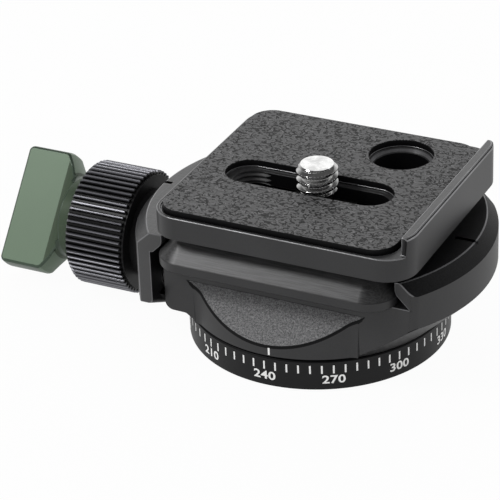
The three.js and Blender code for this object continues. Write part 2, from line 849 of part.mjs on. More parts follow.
// Knurled clamp ring with straight ribs, and the nut pressed into it.
{
  const outline = [];
  const pitch = 360 / ring_count;
  for (let i = 0; i < ring_count; i += 1) {
    for (const [share, radius] of [
      [-crest_share, ring_crest],
      [crest_share, ring_crest],
      [root_share, ring_root],
      [1 - root_share, ring_root],
    ]) {
      const angle = THREE.MathUtils.degToRad(pitch * (i + share));
      outline.push([radius * Math.cos(angle), knob_axis_height + radius * Math.sin(angle)]);
    }
  }
  const trim = [
    [0, -ring_rib_end],
    [ring_crest - ring_edge_break, -ring_rib_end],
    [ring_crest + press_clearance, -ring_rib_end + ring_edge_break],
    [ring_crest + press_clearance, -ring_rib_start],
    [0, -ring_rib_start],
  ];
  const ribs = prismX(outline, -ring_rib_end, -ring_rib_start).intersect(turnedX(trim, sides_medium));
  const hub = [
    [0, -ring_rib_start],
    [ring_step_radius, -ring_rib_start],
    [ring_step_radius, -ring_face],
    [ring_hub_radius, -ring_face],
    [ring_hub_radius, -ring_hub_start],
    [0, -ring_hub_start],
  ];
  let ring = union(ribs, turnedX(hub, sides_medium));
  ring = cut(
    ring,
    rodX(stud_radius + running_clearance, -reach, 0, sides_medium),
    rodX(nut_radius + press_clearance, -reach, -nut_start, sides_medium),
    rodX(ring_pocket_radius, -reach, -ring_pocket_start, sides_medium),
  );
  piece("clamp_ring", ring, black, 0.6, 0.5);
  const inner = stud_radius + running_clearance;
  const nut = [
    [inner, -ring_pocket_start],
    [nut_radius, -ring_pocket_start],
    [nut_radius, -nut_start - press_clearance],
    [inner, -nut_start - press_clearance],
  ];
  piece("ring_nut", turnedX(nut, sides_medium), brass, 0.9, 0.35);
}

// Lock pin that presses into the spindle groove when the wing is tightened.
{
  const profile = [
    [0, -lock_pin_end],
    [lock_pin_radius, -lock_pin_end],
    [lock_pin_radius, -lock_pin_start - lock_pin_radius / 2],
    [lock_pin_radius / 2, -lock_pin_start],
    [0, -lock_pin_start],
  ];
  piece("lock_pin", turnedX(profile, sides_small), brass, 0.9, 0.35);
}

// Wing knob on its threaded rod, held by a cross pin.
{
  const profile = [
    [0, -wing_end],
    [wing_radius - wing_break, -wing_end],
    [wing_radius, -wing_end + wing_break],
    [wing_radius, -wing_shoulder - wing_break],
    [wing_radius - wing_break / 2, -wing_shoulder],
    [wing_cone_radius, -wing_cone_start],
    [wing_neck_radius, -wing_neck_end],
    [wing_neck_radius, -wing_start],
    [0, -wing_start],
  ];
  const slab = [
    [-wing_end, wing_half - wing_break / 2],
    [-wing_end, -wing_half + wing_break / 2],
    [-wing_end + wing_break / 2, -wing_half],
    ...arcPoints(-wing_scoop_start, -wing_half - wing_scoop, wing_scoop, 90, 0, 6),
    [-wing_scoop_start + wing_scoop, -wing_radius],
    [-wing_start, -wing_radius],
    [-wing_start, wing_radius],
    [-wing_scoop_start + wing_scoop, wing_radius],
    ...arcPoints(-wing_scoop_start, wing_half + wing_scoop, wing_scoop, 0, -90, 6),
    [-wing_end + wing_break / 2, wing_half],
  ];
  const blank = turnedX(profile, sides_medium, 0, 0);
  const turn = new THREE.Matrix4().makeRotationX(Math.PI);
  const slab_geometry = extruded(slab, 2 * wing_radius).translate(0, 0, -wing_radius);
  const wing_blank = blank.intersect(solidOf(slab_geometry.applyMatrix4(turn)));
  const rod_hole = rodX(lock_rod_radius + press_clearance, -lock_rod_end, 0, sides_small, 0, 0);
  const pin_hole = rodZ(cross_pin_radius + press_clearance, -reach, reach, sides_small, -cross_pin_x, 0);
  const wing = cut(wing_blank, rod_hole, pin_hole);
  const placed = wing.rotate([-wing_turn, 0, 0]).translate([0, 0, knob_axis_height]);
  piece("wing_knob", placed, green, 0.5, 0.5);
  const rod_inner = -lock_pin_end - rest_clearance;
  const rod = rodX(lock_rod_radius, -lock_rod_end + press_clearance, rod_inner, sides_small, 0, 0);
  const pin_length = wing_neck_radius - cross_pin_sunk;
  const pin = rodZ(cross_pin_radius, -pin_length, pin_length, sides_small, -cross_pin_x, 0);
  const drilled = cut(rod, rodZ(cross_pin_radius + press_clearance, -reach, reach, sides_small, -cross_pin_x, 0));
  const rod_placed = drilled.rotate([-wing_turn, 0, 0]).translate([0, 0, knob_axis_height]);
  piece("lock_rod", rod_placed, steel, 0.9, 0.35);
  const pin_placed = pin.rotate([-wing_turn, 0, 0]).translate([0, 0, knob_axis_height]);
  piece("wing_cross_pin", pin_placed, steel, 0.9, 0.35);
}

// Quick release plate: four-way dovetail, deck with a rim, flange along one edge.
{
  const left = plate_shift - plate_half;
  const right = plate_shift + plate_half;
  const inset = bevel_height;
  const outer = roundedBox(left, right, -plate_half, plate_half, plate_corner);
  const lip = prismZ(outer, plate_low, bevel_low);
  // The bevel narrows by its own height on all four sides.
  const bevel_shape = extruded(outer, 2 * (bevel_high - bevel_low), inset);
  const bevel_solid = solidOf(bevel_shape.translate(0, 0, bevel_low - (bevel_high - bevel_low)));
  const upper_half = box(-reach, reach, -reach, reach, bevel_low, bevel_high);
  const bevel = bevel_solid.intersect(upper_half);
  const neck_inset = inset + neck_step;
  const neck = roundedBox(
    left + neck_inset,
    right - neck_inset,
    -plate_half + neck_inset,
    plate_half - neck_inset,
    plate_corner - neck_inset,
  );
  const neck_solid = prismZ(neck, bevel_high, deck_bottom);
  const deck_outline = roundedBox(left, deck_edge, -plate_half, plate_half, plate_corner, deck_corner);
  const deck_blank = prismZ(deck_outline, deck_bottom, deck_top, rim_break);
  const rim = roundedBox(
    left + rim_width,
    pad_edge_right + pad_gap,
    -plate_half + rim_width,
    plate_half - rim_width,
    plate_corner - rim_width,
  );
  // A relief at the foot of the flange, as high as the pad, leaves its seat free above the pad.
  const flange_blank = prismZ(deck_outline, deck_bottom + rim_width, flange_top, flange_break);
  const flange_whole = flange_blank.intersect(
    box(flange_inner, reach, -flange_half, flange_half, deck_bottom + rim_width, flange_top),
  );
  const flange = cut(flange_whole, box(0, flange_inner + flange_relief, -reach, reach, 0, flange_seat));
  let plate = union(lip, bevel, neck_solid, deck_blank, flange);
  plate = cut(plate, prismZ(rim, pad_floor, deck_top + rim_width));
  const slot_low = slotOutline(
    entry_x - slot_neck_half,
    slot_right - slot_half + slot_neck_half,
    slot_centre_y,
    slot_neck_half,
  );
  const slot_high = slotOutline(slot_left, slot_right, slot_centre_y, slot_half);
  const channel = slotOutline(
    slot_left - channel_half + slot_half,
    slot_right + channel_half - slot_half,
    slot_centre_y,
    channel_half,
  );
  const hole_low = hole_radius - hole_step;
  const hole = [
    [0, 0],
    [hole_low, 0],
    [hole_low, hole_step_height - hole_cone_height],
    [hole_radius, hole_step_height],
    [hole_radius, reach],
    [0, reach],
  ];
  plate = cut(
    plate,
    prismZ(slot_low, 0, reach),
    prismZ(slot_high, slot_step_height, reach),
    prismZ(channel, 0, channel_top),
    rodZ(entry_radius, 0, reach, sides_medium, entry_x, slot_centre_y),
    turnedZ(hole, sides_medium, hole_x, hole_y),
  );
  piece("plate_deck", plate, black, 0.6, 0.5);
  // Rubber pad in the rim, pierced by the same slot and hole.
  const pad_inset = rim_width + pad_gap;
  const pad_outline = roundedBox(
    left + pad_inset,
    pad_edge_right,
    -plate_half + pad_inset,
    plate_half - pad_inset,
    plate_corner - pad_inset,
  );
  let pad = prismZ(pad_outline, pad_floor, pad_top, pad_edge_break);
  pad = cut(
    pad,
    prismZ(slot_high, 0, reach),
    rodZ(hole_radius, 0, reach, sides_medium, hole_x, hole_y),
  );
  piece("rubber_pad", pad, rubber, 0, 0.8);
}

// Camera screw with its head in the channel, and the clip that keeps it there.
{
  const profile = [
    [0, screw_head_low],
    [screw_head_radius, screw_head_low],
    [screw_head_radius, screw_head_top],
    [screw_neck, screw_head_top],
    [screw_neck, screw_thread_start],
    [screw_radius, screw_thread_start + screw_chamfer],
    [screw_radius, screw_top - screw_chamfer],
    [screw_radius - screw_chamfer, screw_top],
    [0, screw_top],
  ];
  let screw = turnedZ(profile, sides_medium, screw_x, slot_centre_y);
  const slot = box(
    screw_x - screw_slot_half,
    screw_x + screw_slot_half,
    slot_centre_y - screw_head_radius - press_clearance,
    slot_centre_y + screw_head_radius + press_clearance,
    0,
    screw_head_low + screw_slot_depth,
  );
  screw = cut(screw, slot);
  piece("camera_screw", screw, steel, 0.95, 0.25);
  const low = channel_top - press_clearance - clip_washer_height;
  const inner = screw_neck + press_clearance;
  const ring = [
    [inner, low],
    [clip_washer_radius, low],
    [clip_washer_radius, low + clip_washer_height],
    [inner, low + clip_washer_height],
  ];
  piece("screw_clip", turnedZ(ring, sides_medium, screw_x, slot_centre_y), nylon, 0, 0.5);
}

export default group;
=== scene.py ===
"""Looks of a panning clamp with its quick release plate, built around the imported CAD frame.

Lengths in the classes are millimetres, with the pan axis as Z and the underside of the base
0.14 below zero. Every mesh is moved into the frame's metres when its piece is made.
"""

import json
import logging
import math
from dataclasses import dataclass, field
from enum import Enum
from typing import Callable, Iterable, Sequence

import bmesh
import bpy
from mathutils import Matrix, Vector


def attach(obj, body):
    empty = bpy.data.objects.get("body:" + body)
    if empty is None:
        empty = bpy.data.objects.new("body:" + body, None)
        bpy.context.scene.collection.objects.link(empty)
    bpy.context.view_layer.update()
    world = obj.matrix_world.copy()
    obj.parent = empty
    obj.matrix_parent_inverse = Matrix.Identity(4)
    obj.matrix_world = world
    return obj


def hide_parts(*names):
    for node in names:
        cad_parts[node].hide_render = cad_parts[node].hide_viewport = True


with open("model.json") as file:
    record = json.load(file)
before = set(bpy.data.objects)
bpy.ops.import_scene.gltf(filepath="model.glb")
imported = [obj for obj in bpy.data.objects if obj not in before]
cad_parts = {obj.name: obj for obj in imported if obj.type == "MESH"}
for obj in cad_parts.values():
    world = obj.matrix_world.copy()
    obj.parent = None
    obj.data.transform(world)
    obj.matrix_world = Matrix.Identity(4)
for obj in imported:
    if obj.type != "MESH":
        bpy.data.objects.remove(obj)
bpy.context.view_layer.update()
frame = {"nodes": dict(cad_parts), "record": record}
log = logging.getLogger("panning_clamp")

Point = tuple[float, float]
Colour = tuple[float, float, float]
Corner = tuple[float, float, float]
Look = bpy.types.Material
Thing = bpy.types.Object
Edge = bmesh.types.BMEdge
FaceTest = Callable[[Vector, Vector], bool]
WHITE = (1.0, 1.0, 1.0, 1.0)
MM_PER_METRE = 1000.0
PAN_AXIS_X = 12.6
FOOT = 0.14
SHRINK = Matrix.Diagonal((1 / MM_PER_METRE, 1 / MM_PER_METRE, 1 / MM_PER_METRE, 1.0))
TO_FRAME = SHRINK @ Matrix.Translation((PAN_AXIS_X, 0.0, FOOT))
KNOB_AXIS_Z = 9.66
PIN_Y = 10.5

# Reach of a cut that runs out of the part.
FAR = 60.0

# Room that a choice of faces or edges leaves beside a place.
MARGIN = 0.05
HAIR = 0.01
ROUNDING = 0.001

# Sizes below which corners and angles count as none.
TINY = 1e-6
SLIVER = 0.02
FLAT_ANGLE = math.radians(0.3)
SHARP_ANGLE = math.radians(28)


# Outlines


def arc(x: float, y: float, radius: float, start: float, end: float, steps: int = 12) -> list[Point]:
    """Points along an arc round x and y between two angles in degrees, both ends included."""
    turns = [math.radians(start + (end - start) * i / steps) for i in range(steps + 1)]
    return [(x + radius * math.cos(t), y + radius * math.sin(t)) for t in turns]


def rectangle(left: float, right: float, low: float, high: float) -> list[Point]:
    """The corners of a rectangle, anticlockwise."""
    return [(left, low), (right, low), (right, high), (left, high)]


def rounded_box(
    left: float, right: float, low: float, high: float, radius: float, far: float = 0.0
) -> list[Point]:
    """A rectangle with round corners, anticlockwise; far is the radius of the right ones."""
    other = far or radius
    return (
        arc(right - other, high - other, other, 0, 90)
        + arc(left + radius, high - radius, radius, 90, 180)
        + arc(left + radius, low + radius, radius, 180, 270)
        + arc(right - other, low + other, other, 270, 360)
    )


def slot_outline(left: float, right: float, y: float, half: float) -> list[Point]:
    """A slot along X with round ends, anticlockwise; half is half its width."""
    return arc(right - half, y, half, -90, 90, 24) + arc(left + half, y, half, 90, 270, 24)


def flatted_disc(radius: float, half: float, corner: float) -> list[Point]:
    """A disc with two parallel flats and rounded corners.

    Args:
        radius: Radius of the disc.
        half: Distance of each flat from the axis.
        corner: Radius of the four corners.

    Returns:
        Its outline, anticlockwise.
    """
    y = half - corner
    x = math.sqrt((radius - corner) ** 2 - y**2)
    turn = math.degrees(math.atan2(y, x))
    return (
        arc(0, 0, radius, -turn, turn, 48)
        + arc(x, y, corner, turn, 90, 8)[1:]
        + arc(-x, y, corner, 90, 180 - turn, 8)
        + arc(0, 0, radius, 180 - turn, 180 + turn, 48)[1:]
        + arc(-x, -y, corner, 180 + turn, 270, 8)[1:]
        + arc(x, -y, corner, 270, 360 - turn, 8)
    )[:-1]


def nose_outline(nose: float, height: float, bed: float, side: int) -> list[Point]:
    """The overhanging nose of a jaw in x and z, from its bed up; side is 1 or -1 along X."""
    tip, blend = 0.22, 0.45
    return [
        (side * (nose + (height - bed)), bed),
        (side * (nose + tip), height - tip),
        (side * nose, height + blend),
        (side * nose, FAR),
    ]


def ring_faces(rings: Sequence[Sequence[int]]) -> list[list[int]]:
    """Faces of a skin.

    Args:
        rings: Corner numbers of each ring; a ring of one repeated corner closes the form there.

    Returns:
        The corner numbers of the faces between each ring and the next.
    """
    faces = []
    for one, two in zip(rings, rings[1:]):
        for i in range(len(one)):
            j = (i + 1) % len(one)
            face = list(dict.fromkeys((one[i], one[j], two[j], two[i])))
            if len(face) > 2:
                faces.append(face)
    return faces


def thread_ridge(place: float, turn: float, pitch: float, flat: float, flank: float) -> float:
    """Height of a thread, 0 to 1; flat and flank are the shares of its root and its flanks."""
    phase = (place / pitch - turn) % 1.0
    return min(1.0, max(0.0, (abs(2 * phase - 1) - flat) / flank))


# Objects of the scene


def linked(name: str, data: bpy.types.ID) -> Thing:
    """Adds an object to the scene.

    Args:
        name: Its name.
        data: Its mesh, curve, lamp or camera.

    Returns:
        The object.
    """
    made = bpy.data.objects.new(name, data)
    bpy.context.scene.collection.objects.link(made)
    return made


def evaluated(thing: Thing) -> bpy.types.Mesh:
    """Takes the finished mesh of an object and removes the object.

    Args:
        thing: An object with modifiers, or a text.

    Returns:
        The mesh with the modifiers applied.
    """
    bpy.context.view_layer.update()
    graph = bpy.context.evaluated_depsgraph_get()
    mesh = bpy.data.meshes.new_from_object(thing.evaluated_get(graph))
    bpy.data.objects.remove(thing)
    return mesh


# Solids


class Along(Enum):
    """The axis that a form is extruded or turned along."""

    X = "x"
    Y = "y"
    Z = "z"


class Solid:
    """A closed form that is joined, cut and softened as it would be machined."""

    def __init__(self, mesh: bpy.types.Mesh) -> None:
        """Takes over a mesh."""
        self.mesh = mesh

    @classmethod
    def of_faces(cls, vertices: Iterable[Sequence[float]], faces: Iterable[Sequence[int]]) -> "Solid":
        """Makes a solid of vertices and faces and turns its faces outward.

        Args:
            vertices: Places of the corners.
            faces: Corner numbers of each face.

        Returns:
            The solid.
        """
        form = bmesh.new()
        corners = [form.verts.new(place) for place in vertices]
        for face in faces:
            form.faces.new([corners[i] for i in face])
        bmesh.ops.remove_doubles(form, verts=form.verts, dist=TINY)
        bmesh.ops.recalc_face_normals(form, faces=form.faces)
        if form.calc_volume(signed=True) < 0:
            bmesh.ops.reverse_faces(form, faces=form.faces)
        mesh = bpy.data.meshes.new("solid")
        form.to_mesh(mesh)
        form.free()
        return cls(mesh)

    @classmethod
    def paint_marks(cls, places: Sequence[Corner], faces: Sequence[Sequence[int]]) -> "Solid":
        """Thin marks that lie on a surface.

        Args:
            places: Their corners.
            faces: Corner numbers of each face.

        Returns:
            The marks.
        """
        mesh = bpy.data.meshes.new("marks")
        mesh.from_pydata(places, [], faces)
        mesh.update()
        return cls(mesh)

    @classmethod
    def prism(cls, outline: Sequence[Point], low: float, high: float, along: Along = Along.Z) -> "Solid":
        """Extrudes an outline.

        Args:
            outline: Its points, in x and y along Z, x and z along Y, or y and z along X.
            low: Where it starts.
            high: Where it ends.
            along: The axis it is extruded along.

        Returns:
            The prism.
        """
        order = {Along.X: (2, 0, 1), Along.Y: (0, 2, 1), Along.Z: (0, 1, 2)}[along]
        ends = [[(u, v, w) for u, v in outline] for w in (low, high)]
        return cls.stacked([[tuple(place[i] for i in order) for place in end] for end in ends])

    @classmethod
    def stacked(cls, rings: Sequence[Sequence[Corner]]) -> "Solid":
        """Skins rings of corners, with a face over the first and the last.

        Args:
            rings: The corners of each ring, as many in each.

        Returns:
            The closed form.
        """
        count = len(rings[0])
        numbers = [list(range(i * count, (i + 1) * count)) for i in range(len(rings))]
        places = [corner for ring in rings for corner in ring]
        return cls.of_faces(places, [numbers[0], numbers[-1], *ring_faces(numbers)])

    @classmethod
    def box(cls, low: Sequence[float], high: Sequence[float]) -> "Solid":
        """A box between two corners."""
        return cls.prism(rectangle(low[0], high[0], low[1], high[1]), low[2], high[2])

    @classmethod
    def turned(
        cls,
        profile: Sequence[Point],
        sides: int = 192,
        along: Along = Along.Z,
        centre: Point = (0.0, 0.0),
    ) -> "Solid":
        """Turns a profile about an axis.

        Args:
            profile: Points of radius and place along the axis, closed or ending on the axis.
            sides: How many sides the form has.
            along: The axis, Z or X.
            centre: Where the axis stands, in x and y along Z or y and z along X.

        Returns:
            The turned form.
        """
        points: list[Corner] = []
        rings: list[list[int]] = []
        for radius, place in profile:
            if radius < TINY:
                rings.append([len(points)] * sides)
                points.append((0.0, 0.0, place))
                continue
            rings.append(list(range(len(points), len(points) + sides)))
            turns = [2 * math.pi * (i + 0.5) / sides for i in range(sides)]
            points += [(radius * math.cos(t), radius * math.sin(t), place) for t in turns]
        if profile[0][0] > TINY:
            rings.append(rings[0])
        u, v = centre
        if along is Along.X:
            placed = [(place, y + u, z + v) for y, z, place in points]
        else:
            placed = [(x + u, y + v, place) for x, y, place in points]
        return cls.of_faces(placed, ring_faces(rings))

    @classmethod
    def rod(
        cls,
        radius: float,
        low: float,
        high: float,
        sides: int = 96,
        along: Along = Along.Z,
        centre: Point = (0.0, 0.0),
    ) -> "Solid":
        """A plain round rod, with the same words as turned."""
        profile = [(0, low), (radius, low), (radius, high), (0, high)]
        return cls.turned(profile, sides, along, centre)

    @classmethod
    def threaded(
        cls,
        table: Sequence[tuple[float | None, float]],
        sides: int,
        radius_at: Callable[[float, float], float],
        centre: Point = (0.0, 0.0),
    ) -> "Solid":
        """A form round Z of which some rings follow a thread.

        Args:
            table: Radius and height of each ring; one without a radius follows the thread.
            sides: How many sides the form has.
            radius_at: Radius of the thread at a height and a share of a turn.
            centre: Where the axis stands.

        Returns:
            The threaded form.
        """
        places: list[Corner] = []
        rings: list[list[int]] = []
        for radius, z in table:
            if radius == 0.0:
                rings.append([len(places)] * sides)
                places.append((*centre, z))
                continue
            rings.append(list(range(len(places), len(places) + sides)))
            for i in range(sides):
                turn = i / sides
                r = radius_at(z, turn) if radius is None else radius
                angle = 2 * math.pi * turn
                places.append((centre[0] + r * math.cos(angle), centre[1] + r * math.sin(angle), z))
        if table[0][0] != 0.0:
            rings.append(rings[0])
        return cls.of_faces(places, ring_faces(rings))

    def dressed(self, material: Look) -> "Solid":
        """Gives every face one material, which its cuts leave behind, and returns the solid."""
        self.mesh.materials.clear()
        self.mesh.materials.append(material)
        return self

    def placed(self, matrix: Matrix) -> "Solid":
        """Moves the solid and returns it."""
        self.mesh.transform(matrix)
        return self

    def _evaluated(self, add: Callable[[Thing], None]) -> "Solid":
        """Applies modifiers.

        Args:
            add: Adds them to a scratch object.

        Returns:
            The changed solid.
        """
        scratch = linked("scratch", self.mesh)
        add(scratch)
        return Solid(evaluated(scratch))

    def _combined(self, other: "Solid", operation: str) -> "Solid":
        """Joins this solid with another one by a boolean operation."""
        tool = linked("tool", other.mesh)

        def add(scratch: Thing) -> None:
            """Adds the boolean."""
            modifier = scratch.modifiers.new("cut", "BOOLEAN")
            modifier.operation = operation
            modifier.solver = "EXACT"
            modifier.object = tool
            modifier.material_mode = "TRANSFER"

        result = self._evaluated(add)
        bpy.data.objects.remove(tool)
        return result

    def __add__(self, other: "Solid") -> "Solid":
        """This solid joined to another."""
        return self._combined(other, "UNION")

    def __sub__(self, other: "Solid") -> "Solid":
        """This solid with another cut away."""
        return self._combined(other, "DIFFERENCE")

    def __and__(self, other: "Solid") -> "Solid":
        """What this solid has in common with another."""
        return self._combined(other, "INTERSECT")

    def bored(
        self,
        radius: float,
        reach: float,
        finish: Look,
        y: float = 0.0,
        sides: int = 48,
        start: float = -FAR,
    ) -> "Solid":
        """Bores a hole along X at the height of the knob axis, from start to reach."""
        hole = Solid.rod(radius, start, reach, sides, Along.X, (y, KNOB_AXIS_Z))
        return self - hole.dressed(finish)

    def marked(self, left: float, right: float, top: float, finish: Look) -> "Solid":
        """Cuts a short centre mark into a top face, between two places along X."""
        half, depth = 0.22, 0.3
        return self - Solid.box((left, -half, top - depth), (right, half, FAR)).dressed(finish)

    def slot_of(self, finish: Look) -> int:
        """Number of a finish among the solid's materials; a new one is added."""
        materials = self.mesh.materials
        if materials.find(finish.name) < 0:
            materials.append(finish)
        return materials.find(finish.name)

    def cleaned(self) -> "Solid":
        """Merges the slivers that cuts leave behind, so that its edges can be rounded."""
        form = bmesh.new()
        form.from_mesh(self.mesh)
        bmesh.ops.remove_doubles(form, verts=form.verts, dist=SLIVER)
        parts = {"verts": form.verts, "edges": form.edges}
        bmesh.ops.dissolve_limit(form, angle_limit=FLAT_ANGLE, delimit={"MATERIAL"}, **parts)
        bmesh.ops.remove_doubles(form, verts=form.verts, dist=SLIVER)
        form.to_mesh(self.mesh)
        form.free()
        return self

    def _bevelled(self, settings: dict, finish: Look | None) -> "Solid":
        """Rounds edges.

        Args:
            settings: What the bevel is set to.
            finish: Material of the new faces, or none to keep those beside them.

        Returns:
            The rounded solid.
        """
        number = self.slot_of(finish) if finish else -1

        def add(scratch: Thing) -> None:
            """Adds the bevel."""
            modifier = scratch.modifiers.new("edge", "BEVEL")
            for name, value in settings.items():
                setattr(modifier, name, value)
            modifier.material = number

        return self._evaluated(add)

    def softened(
        self,
        width: float,
        steps: int = 2,
        angle: float = 32.0,
        finish: Look | None = None,
    ) -> "Solid":
        """Rounds every sharp edge.

        Args:
            width: Width of the rounding.
            steps: How many faces it has.
            angle: Edges with a smaller angle than this stay, in degrees.
            finish: Material of the rounding.

        Returns:
            The softened solid.
        """
        settings = {"width": width, "segments": steps, "limit_method": "ANGLE"}
        settings |= {"angle_limit": math.radians(angle), "use_clamp_overlap": False, "loop_slide": True}
        return self.cleaned()._bevelled(settings, finish)

    def eased(
        self,
        width: float,
        steps: int,
        chosen: Callable[[Edge], bool],
        finish: Look | None = None,
        clamped: bool = True,
    ) -> "Solid":
        """Rounds only some edges.

        Args:
            width: Width of the rounding.
            steps: How many faces it has.
            chosen: Says whether an edge is rounded.
            finish: Material of the rounding.
            clamped: Whether the rounding shrinks where edges are short.

        Returns:
            The eased solid.
        """
        form = bmesh.new()
        form.from_mesh(self.mesh)
        weight = form.edges.layers.float.new("bevel_weight_edge")
        for edge in form.edges:
            edge[weight] = 1.0 if chosen(edge) else 0.0
        form.to_mesh(self.mesh)
        form.free()
        settings = {"width": width, "segments": steps, "limit_method": "WEIGHT"}
        settings["use_clamp_overlap"] = clamped
        result = self._bevelled(settings, finish)
        weights = result.mesh.attributes.get("bevel_weight_edge")
        if weights:
            result.mesh.attributes.remove(weights)
        return result

    def painted(
        self,
        finish: Look,
        chosen: FaceTest,
        only: Look | None = None,
    ) -> "Solid":
        """Gives some faces another finish.

        Args:
            finish: Their material.
            chosen: Says from its centre and its normal whether a face takes it.
            only: Material that a face must have before, or none for all of them.

        Returns:
            The same solid.
        """
        number = self.slot_of(finish)
        for face in self.mesh.polygons:
            fits = only is None or self.mesh.materials[face.material_index] == only
            if fits and chosen(face.center, face.normal):
                face.material_index = number
        return self

    def piece(self, name: str, body: str, slot: str, *replaced: str) -> Thing:
        """Makes the solid a piece of the scene.

        Args:
            name: Name of the piece.
            body: CAD body that it rides on.
            slot: Material slot of the record; not used.
            *replaced: CAD nodes that it stands for.

        Returns:
            The object.
        """
        mesh = self.mesh
        mesh.name = name
        mesh.transform(TO_FRAME)
        mesh.polygons.foreach_set("use_smooth", [True] * len(mesh.polygons))
        mesh.set_sharp_from_angle(angle=SHARP_ANGLE)

        def add(scratch: Thing) -> None:
            """Adds face weighted normals."""
            modifier = scratch.modifiers.new("normals", "WEIGHTED_NORMAL")
            modifier.keep_sharp = True
            modifier.weight = 90

        final = self._evaluated(add).mesh
        final.name = name
        made = linked(name, final)
        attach(made, body)
        if replaced:
            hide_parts(*replaced)
        log.info("%s: %d faces on %s", name, len(final.polygons), body)
        return made


# Shader maths


class Signal:
    """A shader socket that takes part in Python expressions."""

    def __init__(self, sheet: "Sheet", socket: bpy.types.NodeSocket) -> None:
        """Wraps a socket of a sheet."""
        self.sheet = sheet
        self.socket = socket

    def math(self, operation: str, *others: "Signal | float") -> "Signal":
        """Adds a Math node with this signal and the others as inputs, and returns its result."""
        inputs = {i: value for i, value in enumerate((self, *others))}
        return self.sheet.add("ShaderNodeMath", {"operation": operation}, inputs)

    def __add__(self, other: "Signal | float") -> "Signal":
        """Sum."""
        return self.math("ADD", other)

    __radd__ = __add__

    def __mul__(self, other: "Signal | float") -> "Signal":
        """Product."""
        return self.math("MULTIPLY", other)

    __rmul__ = __mul__

    def __sub__(self, other: "Signal | float") -> "Signal":
        """Difference."""
        return self.math("SUBTRACT", other)

    def __rsub__(self, other: float) -> "Signal":
        """Difference from a number."""
        return (self * -1.0) + other

    def __or__(self, other: "Signal | float") -> "Signal":
        """The larger of two."""
        return self.math("MAXIMUM", other)

    def __abs__(self) -> "Signal":
        """Size without its sign."""
        return self.math("ABSOLUTE")

    def spread(self, low: float, high: float, to_low: float = 0.0, to_high: float = 1.0) -> "Signal":
        """Maps a range smoothly onto another.

        Args:
            low: Value that becomes to_low.
            high: Value that becomes to_high.
            to_low: Lowest result.
            to_high: Highest result.

        Returns:
            The mapped signal.
        """
        settings = {"interpolation_type": "SMOOTHSTEP"}
        inputs = {"Value": self, "From Min": low, "From Max": high, "To Min": to_low, "To Max": to_high}
        return self.sheet.add("ShaderNodeMapRange", settings, inputs)


class Sheet:
    """The node sheet of one material or world."""

    def __init__(self, tree: bpy.types.NodeTree) -> None:
        """Clears the tree and takes it over."""
        self.tree = tree
        tree.nodes.clear()

    def node(self, kind: str, settings: dict | None = None, inputs: dict | None = None) -> bpy.types.Node:
        """Adds a node.

        Args:
            kind: Type of the node.
            settings: Its properties, set first.
            inputs: Values or links of its sockets, by name or number.

        Returns:
            The node.
        """
        made = self.tree.nodes.new(kind)
        for name, value in (settings or {}).items():
            setattr(made, name, value)
        for key, value in (inputs or {}).items():
            socket = made.inputs[key]
            if isinstance(value, Signal):
                self.tree.links.new(value.socket, socket)
            elif isinstance(value, bpy.types.NodeSocket):
                self.tree.links.new(value, socket)
            else:
                socket.default_value = value
        return made

    def add(
        self,
        kind: str,
        settings: dict | None = None,
        inputs: dict | None = None,
        output: int | str = 0,
    ) -> Signal:
        """Adds a node with the same words as node, and returns one of its outputs."""
        return Signal(self, self.node(kind, settings, inputs).outputs[output])

    def place_mm(self, stretch: Sequence[float] = (1.0, 1.0, 1.0)) -> Signal:
        """The place on the piece in millimetres, stretched along each axis."""
        coordinates = self.add("ShaderNodeTexCoord", output="Object")
        scale = tuple(MM_PER_METRE * share for share in stretch)
        return self.add("ShaderNodeVectorMath", {"operation": "MULTIPLY"}, {0: coordinates, 1: scale})

    def noise(self, place: Signal, size: float, detail: float = 2.0, rough: float = 0.5) -> Signal:
        """Noise of about 0 to 1 with grains of a size in millimetres; detail adds finer layers."""
        inputs = {"Vector": place, "Scale": 1.0 / size, "Detail": detail, "Roughness": rough}
        return self.add("ShaderNodeTexNoise", {}, inputs)

    def mix(self, share: Signal, one: Colour, two: Colour) -> Signal:
        """Blends two colours by a share."""
        inputs = {0: share, 6: (*one, 1.0), 7: (*two, 1.0)}
        return self.add("ShaderNodeMix", {"data_type": "RGBA", "clamp_factor": True}, inputs, 2)


# Finishes


